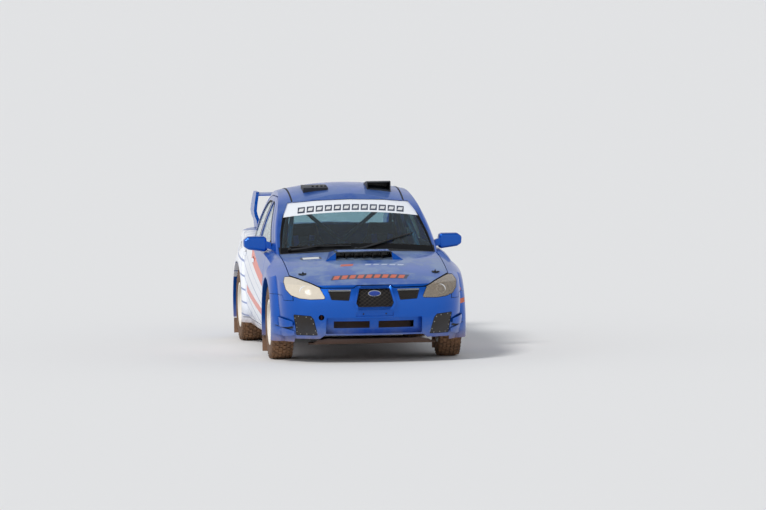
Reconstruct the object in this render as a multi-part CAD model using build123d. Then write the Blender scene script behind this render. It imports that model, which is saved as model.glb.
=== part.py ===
from build123d import *
import math
import os

# A four-door rally car, in millimetres: +X is the car's left, the nose points to -Y and +Z is up.
# The origin is on the ground below the middle of the car.

# Driving dimensions
front_axle_y = -1302.0
rear_axle_y = 1238.0
wheel_radius = 325.0
front_track = 745.0
rear_track = 750.0
arch_radius = 385.0
arch_centre_z = wheel_radius + 12.0
sill_z = 190.0
skin = 22.0
door_wall = 60.0
roof_wall = 45.0
panel_gap = 7.0
seat_gap = 0.2
glass_depth = 8.0
glass_wall = 5.0
door_front_y = -735.0
bonnet_half = 700.0
far = 3000.0

# Lower body outlines, by height: front and rear at the middle, and half the width
lower_levels = [
    # z, front, rear, half
    (190, -2150, 2170, 800),
    (300, -2195, 2205, 826),
    (440, -2230, 2231.5, 842),
    (600, -2212, 2225, 846),
    (740, -2120, 2205, 838),
    (900, -1990, 2170, 808),
    (1060, -1850, 2120, 765),
]
lower_arcs = {"front": 1900, "rear": 3500, "side": 40000, "mid": 0, "front_corner": 380, "rear_corner": 260}

# Bonnet, belt and deck surface, by station: height at the middle, at the edge, and out at the side
top_side = 900.0
top_stations = [
    # y, middle z, edge x, edge z, side z
    (-2260, 655, 560, 620, 470),
    (-2000, 745, 600, 712, 560),
    (-1600, 845, 640, 812, 670),
    (-1150, 912, 690, 878, 727),
    (-600, 950, 720, 915, 765),
    (0, 960, 725, 925, 788),
    (1000, 985, 720, 945, 815),
    (1500, 1015, 690, 975, 840),
    (2000, 1022, 640, 985, 835),
    (2260, 1010, 600, 970, 810),
]

# Cabin outlines, by height
cabin_levels = [
    # z, front, rear, half
    (860, -1115, 1760, 778),
    (930, -1000, 1650, 764),
    (1090, -712, 1395, 718),
    (1250, -412, 1135, 655),
    (1400, -90, 860, 582),
    (1480, 130, 690, 540),
]
cabin_arcs = {"front": 1700, "rear": 1700, "side": 10000, "mid": 150, "front_corner": 70, "rear_corner": 110}
windscreen_run = 2.1
rear_window_run = 1.9

# Roof surface
roof_line = [(-420, 1268), (250, 1460), (1050, 1354)]
roof_crown = 2500.0


def mirrored(shape):
    """The same shape on the other side of the car."""
    return mirror(shape, Plane.YZ)


def both(shape):
    """The shape and its mirror image."""
    return Part() + [shape, mirrored(shape)]


def waterline(z, front, rear, half, arcs):
    """Plan outline at one height: nose, tail and two side arcs with rounded corners."""
    r_front, r_rear, r_side = arcs["front"], arcs["rear"], arcs["side"]
    nose = Pos(0, front + r_front) * Circle(r_front)
    nose += Pos(0, front + r_front + far) * Rectangle(2 * r_front, 2 * far)
    tail = Pos(0, rear - r_rear) * Circle(r_rear)
    tail += Pos(0, rear - r_rear - far) * Rectangle(2 * r_rear, 2 * far)
    left = Pos(half - r_side, arcs["mid"]) * Circle(r_side)
    right = Pos(r_side - half, arcs["mid"]) * Circle(r_side)
    outline = nose & tail & left & right
    outline = fillet(outline.vertices().sort_by(Axis.Y)[:2], arcs["front_corner"])
    outline = fillet(outline.vertices().sort_by(Axis.Y)[-2:], arcs["rear_corner"])
    return Pos(0, 0, z) * outline.face()


def lower_sides(inset):
    """Nose, sides and tail of the lower body, drawn in by an inset."""
    arcs = dict(lower_arcs)
    for corner in ("front_corner", "rear_corner"):
        arcs[corner] -= inset
    return loft(
        [
            waterline(z, front + inset, rear - inset, half - inset, arcs)
            for z, front, rear, half in lower_levels
        ]
    )


def top_form(inset):
    """Everything below the bonnet, shoulder and deck surface."""
    sections = []
    for y, middle_z, edge_x, edge_z, side_z in top_stations:
        crown = ThreePointArc((-edge_x, edge_z), (0, middle_z), (edge_x, edge_z))
        left = TangentArc((edge_x, edge_z), (top_side, side_z), tangent=crown % 1)
        right = TangentArc((-edge_x, edge_z), (-top_side, side_z), tangent=(crown % 0) * -1)
        below = Polyline((top_side, side_z), (top_side, 60), (-top_side, 60), (-top_side, side_z))
        section = make_face(Curve() + [crown, left, right, below])
        place = Plane(origin=(0, y, -inset), x_dir=(1, 0, 0), z_dir=(0, -1, 0))
        sections.append(place * section.face())
    return loft(sections)


def lower_form(inset):
    return top_form(inset) & lower_sides(inset)


def cabin_form(inset):
    """The cabin above the belt, with its roof surface."""
    arcs = dict(cabin_arcs)
    for corner in ("front_corner", "rear_corner"):
        arcs[corner] = max(arcs[corner] - inset, 12)
    sides = loft(
        [
            waterline(
                z, front + windscreen_run * inset, rear - rear_window_run * inset, half - inset * 1.06, arcs
            )
            for z, front, rear, half in cabin_levels
        ]
    )
    return sides & roof_form(inset)


def cabin_foot(inset):
    """The cabin's lowest outline run downward, so that the hollows above and below the belt meet."""
    z, front, rear, half = cabin_levels[0]
    outline = waterline(
        z,
        front + windscreen_run * inset,
        rear - rear_window_run * inset,
        half - inset * 1.06 - 0.5,
        cabin_arcs,
    )
    return extrude(outline, amount=-60) + extrude(outline, amount=1)


def roof_form(inset):
    line = [(y, z - inset) for y, z in roof_line]
    arc = ThreePointArc(*line)
    (y0, z0), (y1, z1) = line[0], line[-1]
    rear_run = Line((y1, z1), (far, z1 - (far - y1) * 0.6))
    front_run = Line((y0, z0), (-far, z0 - (-far - y0) * -0.5))
    below = Polyline((far, z1 - (far - y1) * 0.6), (far, -900), (-far, -900), (-far, z0 - (-far - y0) * -0.5))
    side = make_face(Curve() + [arc, rear_run, front_run, below])
    side = Plane.YZ * side.face()
    axis = Axis((0, 0, roof_line[1][1] - roof_crown), (0, 1, 0))
    return revolve(side.rotate(axis, -30), axis, 60)


def prism(view, points, start, end, radius=0.0, grow=0.0, lean=0.0):
    """A rounded outline drawn in the side (y, z), plan (x, y) or front (x, z) view, run from start to end."""
    planes = {
        "side": Plane(origin=(start, 0, 0), x_dir=(0, 1, 0), z_dir=(1, 0, 0)),
        "plan": Plane(origin=(0, 0, start), x_dir=(1, 0, 0), z_dir=(0, 0, 1)),
        "front": Plane(origin=(0, end, 0), x_dir=(1, 0, 0), z_dir=(0, -1, 0)),
    }
    outline = make_face(Polyline(*points, close=True))
    if radius:
        outline = fillet(outline.vertices(), radius)
    if grow:
        outline = offset(outline, grow)
    face = planes[view] * outline
    if lean:
        return extrude(face, amount=(end - start) * math.hypot(1, lean), dir=(1, lean, 0))
    return extrude(face, amount=end - start)


def block(x0, x1, y0, y1, z0, z1):
    return Pos((x0 + x1) / 2, (y0 + y1) / 2, (z0 + z1) / 2) * Box(x1 - x0, y1 - y0, z1 - z0)


def wide(half, y0, y1, z0, z1):
    """A block as wide on both sides of the middle."""
    return block(-half, half, y0, y1, z0, z1)


def largest(shape, count=1):
    """The largest solids of a shape, without stray slivers."""
    solids = shape.solids().sort_by(SortBy.VOLUME)[-count:]
    return Part() + list(solids) if count > 1 else Part() + solids[0]


def tube(points, radius, bend=0.0):
    """A round bar along straight runs, with rounded corners."""
    line = FilletPolyline(*points, radius=bend) if bend else Polyline(*points)
    start = Plane(origin=line @ 0, z_dir=line % 0)
    return sweep(start * Circle(radius), path=line, transition=Transition.ROUND)


def rod(start, end, radius):
    """A straight round bar between two points."""
    start, end = Vector(*start), Vector(*end)
    return extrude(Plane(origin=start, z_dir=end - start) * Circle(radius), amount=(end - start).length)


# Shut lines and openings, in the view that shows them
bonnet_front = [
    (-712, 1100), (-712, 768), (-640, 746), (-549, 714), (-474, 680), (-440, 672), (-178, 671), (-150, 691),
    (0, 693), (150, 691), (178, 671), (440, 672), (474, 680), (549, 714), (640, 746), (712, 768), (712, 1100),
]
headlamp_outline = [
    (428, 576), (476, 670), (549, 704), (640, 736), (700, 753), (742, 750),
    (763, 710), (752, 650), (715, 605), (650, 581), (560, 572),
]
bumper_side = [(-2400, 100), (-2400, 556), (-1935, 556), (-1905, 598), (-1500, 598), (-1500, 100)]
nose_front = [
    (-698, 540), (-698, 598), (-600, 640), (-479, 664), (-176, 663), (-150, 683),
    (150, 683), (176, 663), (479, 664), (600, 640), (698, 598), (698, 540),
]
rear_bumper_side = [(1500, 100), (1500, 560), (1900, 560), (1930, 650), (2400, 650), (2400, 100)]
windscreen_front = [
    (-694, 902), (-664, 1060), (-616, 1200), (-543, 1318), (-300, 1339), (0, 1347), (300, 1339), (543, 1318),
    (616, 1200), (664, 1060), (694, 902), (300, 936), (0, 942), (-300, 936),
]
rear_window_front = [
    (-610, 1012), (-514, 1310), (-280, 1344), (0, 1356), (280, 1344), (514, 1310),
    (610, 1012), (300, 1030), (0, 1034), (-300, 1030),
]
boot_front = [
    (-628, 1200), (-628, 925), (-548, 885), (-524, 660), (524, 660), (548, 885), (628, 925), (628, 1200),
]
tail_lamp_front = [(562, 882), (640, 922), (770, 915), (830, 880), (830, 760), (700, 735), (545, 735)]
front_door_side = [(-743, 240), (-743, 905), (-30, 1302), (110, 1352), (270, 1362), (270, 240)]
rear_door_side = [
    (150, 240), (150, 1362), (590, 1352), (816, 1316), (954, 1240), (1045, 1120), (1120, 940),
    (1060, 820), (988, 735), (895, 628), (832, 500), (814, 400), (809, 240),
]
front_glass_side = [(-488, 948), (-488, 990), (62, 1288), (120, 1304), (214, 1310), (214, 948)]
rear_glass_side = [(326, 948), (326, 1308), (570, 1300), (735, 1264), (850, 1196), (945, 1085), (1010, 948)]
front_door_lean = 0.2
rear_door_lean = 0.3
lean_x = 800.0
roof_ditch_x = 505.0
boot_front_y = 1562.0
glass_lap = 12.0


def leaned(points, lean, grow=0.0):
    """A door outline run outward on the left, slanting rearward."""
    start = 300
    moved = [(y - lean * (lean_x - start), z) for y, z in points]
    return prism("side", moved, start, 1000, grow=grow, lean=lean)


def front_zone(gap):
    """Everything ahead of the front doors' leading edges."""
    y_middle = door_front_y - front_door_lean * 838 - gap
    y_side = door_front_y + front_door_lean * 62 - gap
    return prism("plan", [(0, y_middle), (900, y_side), (900, -far), (-900, -far), (-900, y_side)], 0, 2000)


def arches(radius):
    """Round wheel openings in the body sides."""
    cut = Part()
    for axle in (front_axle_y, rear_axle_y):
        for side in (-1, 1):
            centre = Pos(side * 760, axle, arch_centre_z) * Rot(0, 90, 0)
            cut += centre * Cylinder(radius, 400)
    return cut


def flares():
    """Swollen rims round the wheel openings."""
    arc = ThreePointArc((866, arch_radius + 10), (853, arch_radius + 62), (790, arch_radius + 135))
    inner = Polyline(
        (790, arch_radius + 135), (700, arch_radius + 135), (700, 200), (862, 200), (866, arch_radius + 10)
    )
    profile = make_face(Curve() + [arc, inner]).face()
    rims = Part()
    for axle in (front_axle_y, rear_axle_y):
        place = Plane(origin=(0, axle, arch_centre_z), x_dir=(1, 0, 0), z_dir=(0, -1, 0))
        rim = revolve(place * profile, Axis((0, axle, arch_centre_z), (1, 0, 0)), 360)
        rims += [rim, mirrored(rim)]
    return rims & wide(900, -far, far, sill_z, 1000)


class Forms:
    """The master forms that every panel is cut from."""

    def __init__(self):
        self.outer = (lower_sides(0) + flares()) & top_form(0)
        self.in_skin = lower_form(skin)
        self.in_door = lower_form(door_wall) + cabin_foot(roof_wall)
        self.cabin = cabin_form(0)
        self.cabin_clear = cabin_form(-4)
        self.in_cabin = cabin_form(roof_wall)
        self.arches = arches(arch_radius)
        self.wall = (self.outer + self.cabin) - (self.in_door + self.in_cabin) - self.arches
        self.glass = cabin_form(glass_depth) - cabin_form(glass_depth + glass_wall)
        deep = glass_depth + glass_wall + seat_gap
        self.rebate = cabin_form(glass_depth - seat_gap) - cabin_form(deep)
        self.in_4 = lower_form(4)
        self.in_12 = lower_form(12)
        self.in_18 = lower_form(18)


def bonnet_plan(grow):
    rear_arc = ThreePointArc((-bonnet_half, -918), (0, -1046), (bonnet_half, -918))
    sides = Polyline((bonnet_half, -918), (bonnet_half, -far), (-bonnet_half, -far), (-bonnet_half, -918))
    plan = make_face(Curve() + [rear_arc, sides])
    if grow:
        plan = offset(plan, grow)
    return extrude(Pos(0, 0, 400) * plan, amount=800)


def front_panels(forms):
    """Bonnet, wings, bumper and cowl, cut from one skin."""
    front = (forms.outer & front_zone(panel_gap / 2)) - forms.in_skin - forms.arches - forms.cabin_clear
    bonnet = front & bonnet_plan(0) & prism("front", bonnet_front, -far, 0)
    rest = front - (bonnet_plan(panel_gap) & prism("front", bonnet_front, -far, 0, grow=panel_gap))
    rest -= both(prism("front", headlamp_outline, -2400, -1700, radius=12, grow=4))
    bumper_zone = prism("side", bumper_side, -far, far) + prism("front", nose_front, -2400, -1880)
    bumper = rest & bumper_zone
    zone_grown = prism("side", bumper_side, -far, far, grow=4)
    zone_grown += prism("front", nose_front, -2400, -1876, grow=4)
    wings = (rest - zone_grown) & both(block(bonnet_half + 4, 900, -far, far, 0, far))
    cowl = (rest - zone_grown) & wide(bonnet_half, -1200, 0, 700, far)
    return largest(bonnet), largest(wings, 2), largest(bumper), cowl


def left_wall(forms):
    """The left body side before its doors are cut."""
    keep = forms.wall - (front_zone(-panel_gap / 2) - forms.cabin)
    wall = keep & block(roof_ditch_x, 900, -far, far, 0, far)
    return wall - wide(696, -1200, -746, 700, 956) - wide(706, -1200, -910, 700, 956)


def left_doors(forms, wall):
    """Left front and rear doors with their window openings, and the side that is left."""
    half_gap = panel_gap / 2
    front_hole = leaned(front_door_side, front_door_lean, half_gap)
    rear_hole = leaned(rear_door_side, rear_door_lean, half_gap)
    front_door = wall & leaned(front_door_side, front_door_lean, -half_gap)
    rear_door = (wall & leaned(rear_door_side, rear_door_lean, -half_gap)) - front_hole
    side = wall - front_hole - rear_hole
    doors = []
    panes = []
    for door, points in ((front_door, front_glass_side), (rear_door, rear_glass_side)):
        open_door = door - prism("side", points, 300, 900, radius=14)
        open_door -= forms.rebate & prism("side", points, 300, 900, radius=14, grow=glass_lap + seat_gap)
        doors.append(largest(open_door))
        panes.append(largest(forms.glass & prism("side", points, 300, 900, radius=14, grow=glass_lap)))
    return doors, panes, side


def screens(forms):
    """Windscreen and rear window, and the holes they need."""
    panes = []
    holes = []
    for points, start, end in ((windscreen_front, -1300, 100), (rear_window_front, 700, 1800)):
        grown = prism("front", points, start, end, radius=18, grow=glass_lap)
        panes.append(largest(forms.glass & grown))
        lap = prism("front", points, start, end, radius=18, grow=glass_lap + seat_gap)
        holes.append(prism("front", points, start, end, radius=18) + (forms.rebate & lap))
    return panes, holes


def rear_panels(forms):
    """Boot lid, tail lamps and rear bumper."""
    skin_only = forms.outer - forms.in_skin
    lid_zone = prism("front", boot_front, boot_front_y, 2400)
    lid = (skin_only - forms.cabin_clear) & lid_zone
    lamps = skin_only & both(prism("front", tail_lamp_front, 1985, 2400))
    bumper = (skin_only - forms.arches) & prism("side", rear_bumper_side, -far, far)
    hole = prism("front", boot_front, boot_front_y - panel_gap, 2400, grow=panel_gap)
    hole += both(prism("front", tail_lamp_front, 1981, 2400, grow=4))
    hole += prism("side", rear_bumper_side, -far, far, grow=4)
    return largest(lid), largest(lamps, 2), largest(bumper), hole


grille_front = [(-146, 498), (-169, 540), (-133, 674), (133, 674), (169, 540), (146, 498)]
side_grille_front = [(225, 558), (203, 650), (408, 654), (378, 566)]
intake_front = [(-426, 264), (-422, 408), (422, 408), (426, 264)]
intake_slots = [(-353, -39), (39, 353)]
plate_front = [(-166, 418), (-166, 456), (166, 456), (166, 418)]
lamp_cover_front = [(492, 252), (530, 395), (556, 427), (702, 438), (686, 343), (674, 252)]
bumper_lift_front = [
    (-690, 100), (-682, 222), (-474, 222), (-436, 252), (436, 252), (474, 222), (682, 222), (690, 100),
]


def bumper_details(bumper, forms):
    """Recesses, grille frame, lamp covers and grille meshes of the front bumper."""
    behind = lower_form(door_wall + 12)
    tray = (forms.outer & prism("front", intake_front, -2400, -1800, grow=12)) - behind
    bumper = bumper + tray
    bumper -= prism("front", intake_front, -2400, -1800, radius=12) - forms.in_door
    for start, end in intake_slots:
        bumper -= block(start, end, -2400, -1900, 313, 374)
    ring = prism("front", grille_front, -2400, -2000, radius=16, grow=13) & wide(300, -2400, -1900, 400, 683)
    bumper = bumper + (ring & (lower_form(-16) - forms.in_skin))
    bumper -= prism("front", bumper_lift_front, -2400, -1850)
    meshes = Part()
    bumper -= prism("front", grille_front, -2400, -2000, radius=16)
    mesh_shell = forms.in_12 - forms.in_18
    meshes += mesh_shell & prism("front", grille_front, -2400, -2000, radius=16, grow=-0.4)
    bumper -= both(prism("front", side_grille_front, -2400, -1900, radius=8))
    meshes += mesh_shell & both(prism("front", side_grille_front, -2400, -1900, radius=8, grow=-0.4))
    bumper -= prism("front", plate_front, -2400, -1900, radius=6) - forms.in_12
    bumper -= Pos(-466, -2200, 412) * Rot(90, 0, 0) * Cylinder(25, 400)
    bumper -= both(prism("front", lamp_cover_front, -2400, -1800, radius=10))
    cover = prism("front", lamp_cover_front, -2400, -1800, radius=10, grow=-3)
    covers = (forms.in_4 - forms.in_12) & both(cover)
    return largest(bumper), meshes, covers


def headlamps(forms):
    """Clear lens and the bowl behind it, on both sides."""
    lens = (forms.outer - forms.in_4) & both(prism("front", headlamp_outline, -2400, -1700, radius=12))
    bowl = forms.in_12 & prism("front", headlamp_outline, -2400, -1840, radius=12, grow=-6)
    bowl -= prism("front", headlamp_outline, -2400, -1800, radius=12, grow=-13) - forms.in_door
    return largest(lens, 2), both(largest(bowl))


scoop_side = [
    (-1454, 844), (-1430, 880), (-1402, 938), (-1390, 945), (-1340, 951), (-1290, 953), (-1200, 948),
    (-1050, 922), (-1050, 885), (-1300, 868),
]
scoop_front = [(-380, 842), (-243, 938), (-222, 953), (222, 953), (243, 938), (380, 842)]
scoop_duct_side = [
    (-1520, 860), (-1520, 932), (-1400, 934), (-1300, 941), (-1190, 930), (-1190, 800), (-1285, 800),
    (-1300, 890), (-1440, 874),
]
scoop_mouth_front = [(-257, 790), (-257, 874), (-229, 945), (229, 945), (257, 874), (257, 790)]
scoop_vanes = [-160, -80, 0, 80, 160]


def scooped(bonnet):
    """The bonnet with its air scoop and the vanes in its mouth."""
    scoop = prism("side", scoop_side, -380, 380) & prism("front", scoop_front, -1470, -1040)
    bonnet = bonnet + scoop
    bonnet -= prism("side", scoop_duct_side, -262, 262) & prism("front", scoop_mouth_front, -1530, -1180)
    for x in scoop_vanes:
        bonnet += block(x - 2, x + 2, -1412, -1250, 866, 947) & scoop
    return largest(bonnet)


def body_side(side):
    """The left side with its hinge pillar and centre pillar."""
    hinge_pillar = [
        (716, 195), (762, 195), (768, 236), (803, 440), (806, 600), (796, 740), (765, 842), (746, 861),
        (735, 863), (690, 850), (690, 236), (716, 236),
    ]
    pillar = [
        (800, 195), (800, 233), (743, 236), (757, 300), (773, 440), (777, 600), (769, 740), (740, 838),
        (710, 852), (690, 930), (629, 1090), (560, 1250), (513, 1354), (513, 1369), (546, 1373), (546, 1390),
        (503, 1390), (503, 1330), (528, 1250), (597, 1090), (658, 930), (680, 846), (708, 826), (735, 740),
        (743, 600), (739, 440), (720, 300), (716, 195),
    ]
    side = side + prism("front", hinge_pillar, -900, -768) + block(742, 768, -800, -700, 195, 233)
    return side + prism("front", pillar, 225, 345)


def cowl_panel(forms, screen_hole):
    """The strip between bonnet and windscreen."""
    zone = wide(692, -1150, -750, 780, 952) & front_zone(-panel_gap / 2)
    strip = (forms.wall & zone) - forms.in_skin - bonnet_plan(panel_gap)
    return largest(strip - screen_hole)


def roof_and_shelf(forms, holes, boot_hole):
    """Roof skin between its ditches, and the strip below the rear window."""
    half = roof_ditch_x - 6
    roof = (forms.wall & wide(half, -600, 1500, 1150, far)) - holes[0] - holes[1]
    shelf = (forms.wall & wide(half, 1300, 1560, 900, 1100)) - holes[1] - boot_hole
    return largest(roof), largest(shelf)


def roof_vents():
    """An open box scoop on the left and a low flap on the right."""
    on_roof = cabin_form(-seat_gap)
    box = prism("side", [(20, 1390), (8, 1484), (60, 1489), (270, 1463), (270, 1390)], 195, 410)
    mouth = prism("side", [(0, 1390), (0, 1476), (60, 1481), (200, 1466), (200, 1390)], 204, 401)
    box -= mouth - cabin_form(-6)
    flap = prism("side", [(20, 1390), (8, 1440), (60, 1450), (230, 1458), (230, 1390)], -380, -158)
    return (box - on_roof) + (flap - on_roof)


mirror_front = [(776, 904), (764, 958), (782, 1043), (940, 1043), (981, 1012), (976, 950), (938, 926)]


def mirror_left():
    """The left mirror, its foot on the front door."""
    head = prism("front", mirror_front, -567, -457, radius=28)
    head = fillet(head.edges().group_by(Axis.Y)[0], 24)
    head = fillet(head.edges().group_by(Axis.Y)[-1], 6)
    foot = prism("front", [(735, 925), (735, 985), (800, 1010), (800, 945)], -565, -502)
    return (head + foot) - cabin_form(-seat_gap)


wing_blade = [
    (1892, 1276), (1896, 1286), (1980, 1298), (2130, 1298), (2132, 1290), (2000, 1284), (1930, 1275),
]
wing_plate_side = [
    (1846, 960), (1876, 1200), (1884, 1296), (1900, 1312), (2120, 1312), (2150, 1290),
    (2176, 1200), (2186, 1120), (2160, 1060), (2120, 960),
]
wing_plate_front = [
    (586, 1312), (614, 1312), (630, 1220), (640, 1140), (632, 1090), (616, 1050), (612, 960), (580, 960),
    (586, 1050), (604, 1100), (612, 1140), (602, 1220),
]


def rear_wing():
    """A full-width blade between two end plates that stand on the boot lid."""
    wing = prism("side", wing_blade, -600, 600)
    wing += both(prism("side", wing_plate_side, 560, 660) & prism("front", wing_plate_front, 1800, 2200))
    return wing - top_form(-seat_gap)


def revolved_wheel(points, centre_x):
    """A ring about a wheel's axle from (offset, radius) points, before it is set at its axle."""
    profile = make_face(Polyline(*points, close=True))
    face = Plane(origin=(centre_x, 0, 0), x_dir=(1, 0, 0), z_dir=(0, -1, 0)) * profile
    return revolve(face.face(), Axis((0, 0, 0), (1, 0, 0)), 360)


tyre_profile = [
    # offset from the wheel's middle, radius
    (-84, 190), (-84, 206), (-97, 222), (-100, 250), (-98, 290), (-88, 314), (-60, 325), (60, 325), (88, 314),
    (98, 290), (100, 250), (97, 222), (84, 206), (84, 190), (64, 190), (64, 200), (86, 250), (80, 300),
    (50, 311), (-50, 311), (-80, 300), (-86, 250), (-64, 200), (-64, 190),
]
rim_profile = [
    (-92, 202), (-85, 202), (-85, 188), (-64, 188), (-50, 172), (62, 172), (64, 188), (85, 188), (85, 202),
    (92, 202), (92, 180), (70, 180), (66, 164), (-52, 164), (-70, 180), (-92, 180),
]
face_profile = [
    (66, 166), (66, 178), (40, 178), (40, 166), (26, 72), (14, 60), (14, 0), (38, 0), (38, 60), (46, 78),
]
disc_profile = [(14, 62), (0, 62), (0, 138), (-24, 138), (-24, 50), (0, 50), (0, 30), (14, 30)]
spoke_count = 8


def rim(centre_x):
    """Wheel rim with its spokes and brake disc, turning about the X axis."""
    face = revolved_wheel(face_profile, centre_x)
    for number in range(spoke_count):
        angle = (number + 0.5) * 360 / spoke_count
        window = Pos(centre_x, 0, 0) * Rot(angle, 0, 0) * Pos(50, 0, 124)
        gap = fillet(Box(120, 58, 76).edges().filter_by(Axis.X), 20)
        face -= window * Solid(gap.wrapped)
    wheel = revolved_wheel(rim_profile, centre_x) + face + revolved_wheel(disc_profile, centre_x)
    return wheel - Pos(centre_x, 0, 0) * Rot(0, 90, 0) * Cylinder(26, 400)


def wheel_housings():
    """Inner arches over all four wheels."""
    places = [
        # axle, inner side, outer side, lowest edge
        (front_axle_y, 433, 752, 262),
        (rear_axle_y, 548, 728, 250),
    ]
    housings = Part()
    for axle, inner, outer, low in places:
        centre = Pos((inner + outer) / 2, axle, arch_centre_z) * Rot(0, 90, 0)
        shell = centre * Cylinder(arch_radius + 9, outer - inner)
        shell -= Pos(12, 0, 0) * centre * Cylinder(arch_radius + 1, outer - inner)
        shell &= block(0, 900, -far, far, low, 900)
        shell -= block(inner - 20, inner + 20, axle - 105, axle + 105, 0, 480)
        housings += [shell, mirrored(shell)]
    return housings


def floor_pan():
    """Floor, tunnel, firewall and boot floor."""
    pan = wide(710, -878, 820, 205, 223)
    pan -= wide(110, -1000, 810, 190, 210)
    tunnel = wide(125, -878, 820, 205, 330) - wide(110, -1000, 810, 190, 316)
    pan = pan - wide(110, -1000, 810, 190, 230) + tunnel
    pan += wide(640, -890, -878, 205, 830) - wide(110, -1000, -800, 190, 316)
    pan += wide(540, 808, 820, 205, 400) - wide(110, 800, 830, 190, 316)
    pan += wide(540, 808, 2120, 388, 400)
    return pan - wide(110, 790, 830, 190, 316)


def sump_guard():
    """A folded plate below the engine, widest at its turned-up front edge."""
    side = [(-2075, 214), (-2000, 166), (-960, 152), (-960, 164), (-1996, 178), (-2062, 222)]
    plan = [(330, -2080), (500, -2030), (560, -1950), (545, -1790), (400, -1640), (395, -940)]
    outline = plan + [(-x, y) for x, y in reversed(plan)]
    return prism("side", side, -600, 600) & prism("plan", outline, 100, 300)


def engine_block():
    engine = wide(290, -1650, -1150, 330, 640) + wide(230, -1640, -1200, 640, 740)
    return engine + wide(140, -1600, -1390, 250, 330) + wide(100, -1150, -905, 290, 470)


def radiator():
    return wide(340, -1985, -1940, 255, 610)


def exhaust():
    """Pipe from the engine through the tunnel to a silencer and tail pipe."""
    run = [(0, -1040, 225), (0, 960, 225), (300, 1420, 225), (470, 1560, 262), (470, 1760, 262)]
    pipe = tube(run, 27, 60)
    silencer = Pos(470, 1890, 270) * Rot(90, 0, 0) * Cylinder(78, 300)
    tail = Pos(470, 2125, 262) * Rot(90, 0, 0) * Cylinder(34, 200)
    return pipe + silencer + tail - Pos(470, 2185, 262) * Rot(90, 0, 0) * Cylinder(30, 120)


def dashboard():
    """Dashboard with the instrument hood and the steering column."""
    side = [(-865, 640), (-865, 845), (-810, 878), (-690, 884), (-640, 850), (-640, 720), (-720, 640)]
    dash = prism("side", side, -572, 572)
    hood = Pos(-370, -668, 880) * Box(330, 130, 70)
    hood = fillet(hood.edges(), 22)
    dash = dash + hood - Pos(-370, -590, 880) * Box(280, 90, 44)
    return dash + rod((-370, -700, 704), (-370, -448, 821), 24)


steering_centre = (-370, -430, 829.5)
steering_tilt = 25.0


def steering_wheel():
    """Rim, three spokes and hub."""
    wheel = Torus(165, 15) + Cylinder(34, 24)
    for angle in (0, 180, 270):
        wheel += Rot(0, 0, angle) * Pos(98, 0, 0) * Box(150, 26, 8)
    return Pos(*steering_centre) * Rot(steering_tilt - 90, 0, 0) * wheel


def seats():
    """Two deep-sided bucket seats."""
    side = [
        (-255, 300), (-270, 420), (-200, 470), (90, 420), (150, 470), (270, 1010), (300, 1120),
        (360, 1120), (350, 1000), (235, 430), (200, 300),
    ]
    pocket = [(-300, 390), (-300, 500), (60, 520), (205, 1040), (262, 1040), (128, 440), (80, 370)]
    shape = prism("side", side, 142, 568)
    shape -= prism("side", [(-400, 930), (-400, 1200), (500, 1200), (500, 930)], 100, 215)
    shape -= prism("side", [(-400, 930), (-400, 1200), (500, 1200), (500, 930)], 495, 640)
    shape -= prism("side", pocket, 178, 532)
    feet = block(180, 215, -180, 150, 223.3, 310) + block(495, 530, -180, 150, 223.3, 310)
    return both(shape + feet)


cage_runs = [
    # radius, bent bars of the cage's left half
    (20, [(600, -690, 223.3), (600, -690, 860), (500, -180, 1240), (468, 60, 1293), (468, 400, 1325)]),
    (20, [(600, 400, 223.3), (600, 400, 880), (468, 400, 1325)]),
    (19, [(468, 400, 1325), (490, 1230, 400.3)]),
    (18, [(600, -690, 560), (600, 400, 420)]),
    (17, [(600, -690, 420), (600, 400, 640)]),
]
cage_bars = [
    # radius, start and end of the bars that cross the car
    (19, (468, 400, 1325), (-468, 400, 1325)),
    (19, (468, 60, 1293), (-468, 60, 1293)),
    (19, (600, 400, 640), (-600, 400, 640)),
    (18, (468, 400, 1325), (-600, 400, 420)),
    (17, (-468, 400, 1325), (600, 400, 420)),
]
cage_weld = 23.0


def roll_cage():
    """Welded tube cage with crossed bars in the doorways and behind the seats."""
    bars = []
    for radius, run in cage_runs:
        for start, end in zip(run, run[1:]):
            bars += [rod(start, end, radius), mirrored(rod(start, end, radius))]
        for joint in run[1:-1]:
            bars += [Pos(*joint) * Sphere(cage_weld), mirrored(Pos(*joint) * Sphere(cage_weld))]
    for radius, start, end in cage_bars:
        bars.append(rod(start, end, radius))
    for joint in ((468, 400, 1325), (600, 400, 420), (600, 400, 640)):
        bars += [Pos(*joint) * Sphere(cage_weld), mirrored(Pos(*joint) * Sphere(cage_weld))]
    cage = Part() + bars
    return cage - wide(900, -far, far, 0, 223.3) - wide(900, 700, far, 0, 400.3)


def mud_flaps():
    flaps = Part()
    for y, top, inner_x in ((-922, 255, 752), (1602, 300, 738)):
        outline = [(655, top), (655, 45), (862, 45), (862, 182), (inner_x, 184), (inner_x, top)]
        flaps += both(prism("front", outline, y, y + 4))
    return flaps


def caliper(axle_y, wheel_x):
    """A brake caliper round the front edge of a disc."""
    axle = Pos(wheel_x - 12, axle_y, wheel_radius) * Rot(0, 90, 0)
    shoe = block(wheel_x - 62, wheel_x + 20, axle_y - 157, axle_y - 92, wheel_radius - 55, wheel_radius + 55)
    return (shoe & axle * Cylinder(157, 300)) - axle * Cylinder(143, 36)


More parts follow.
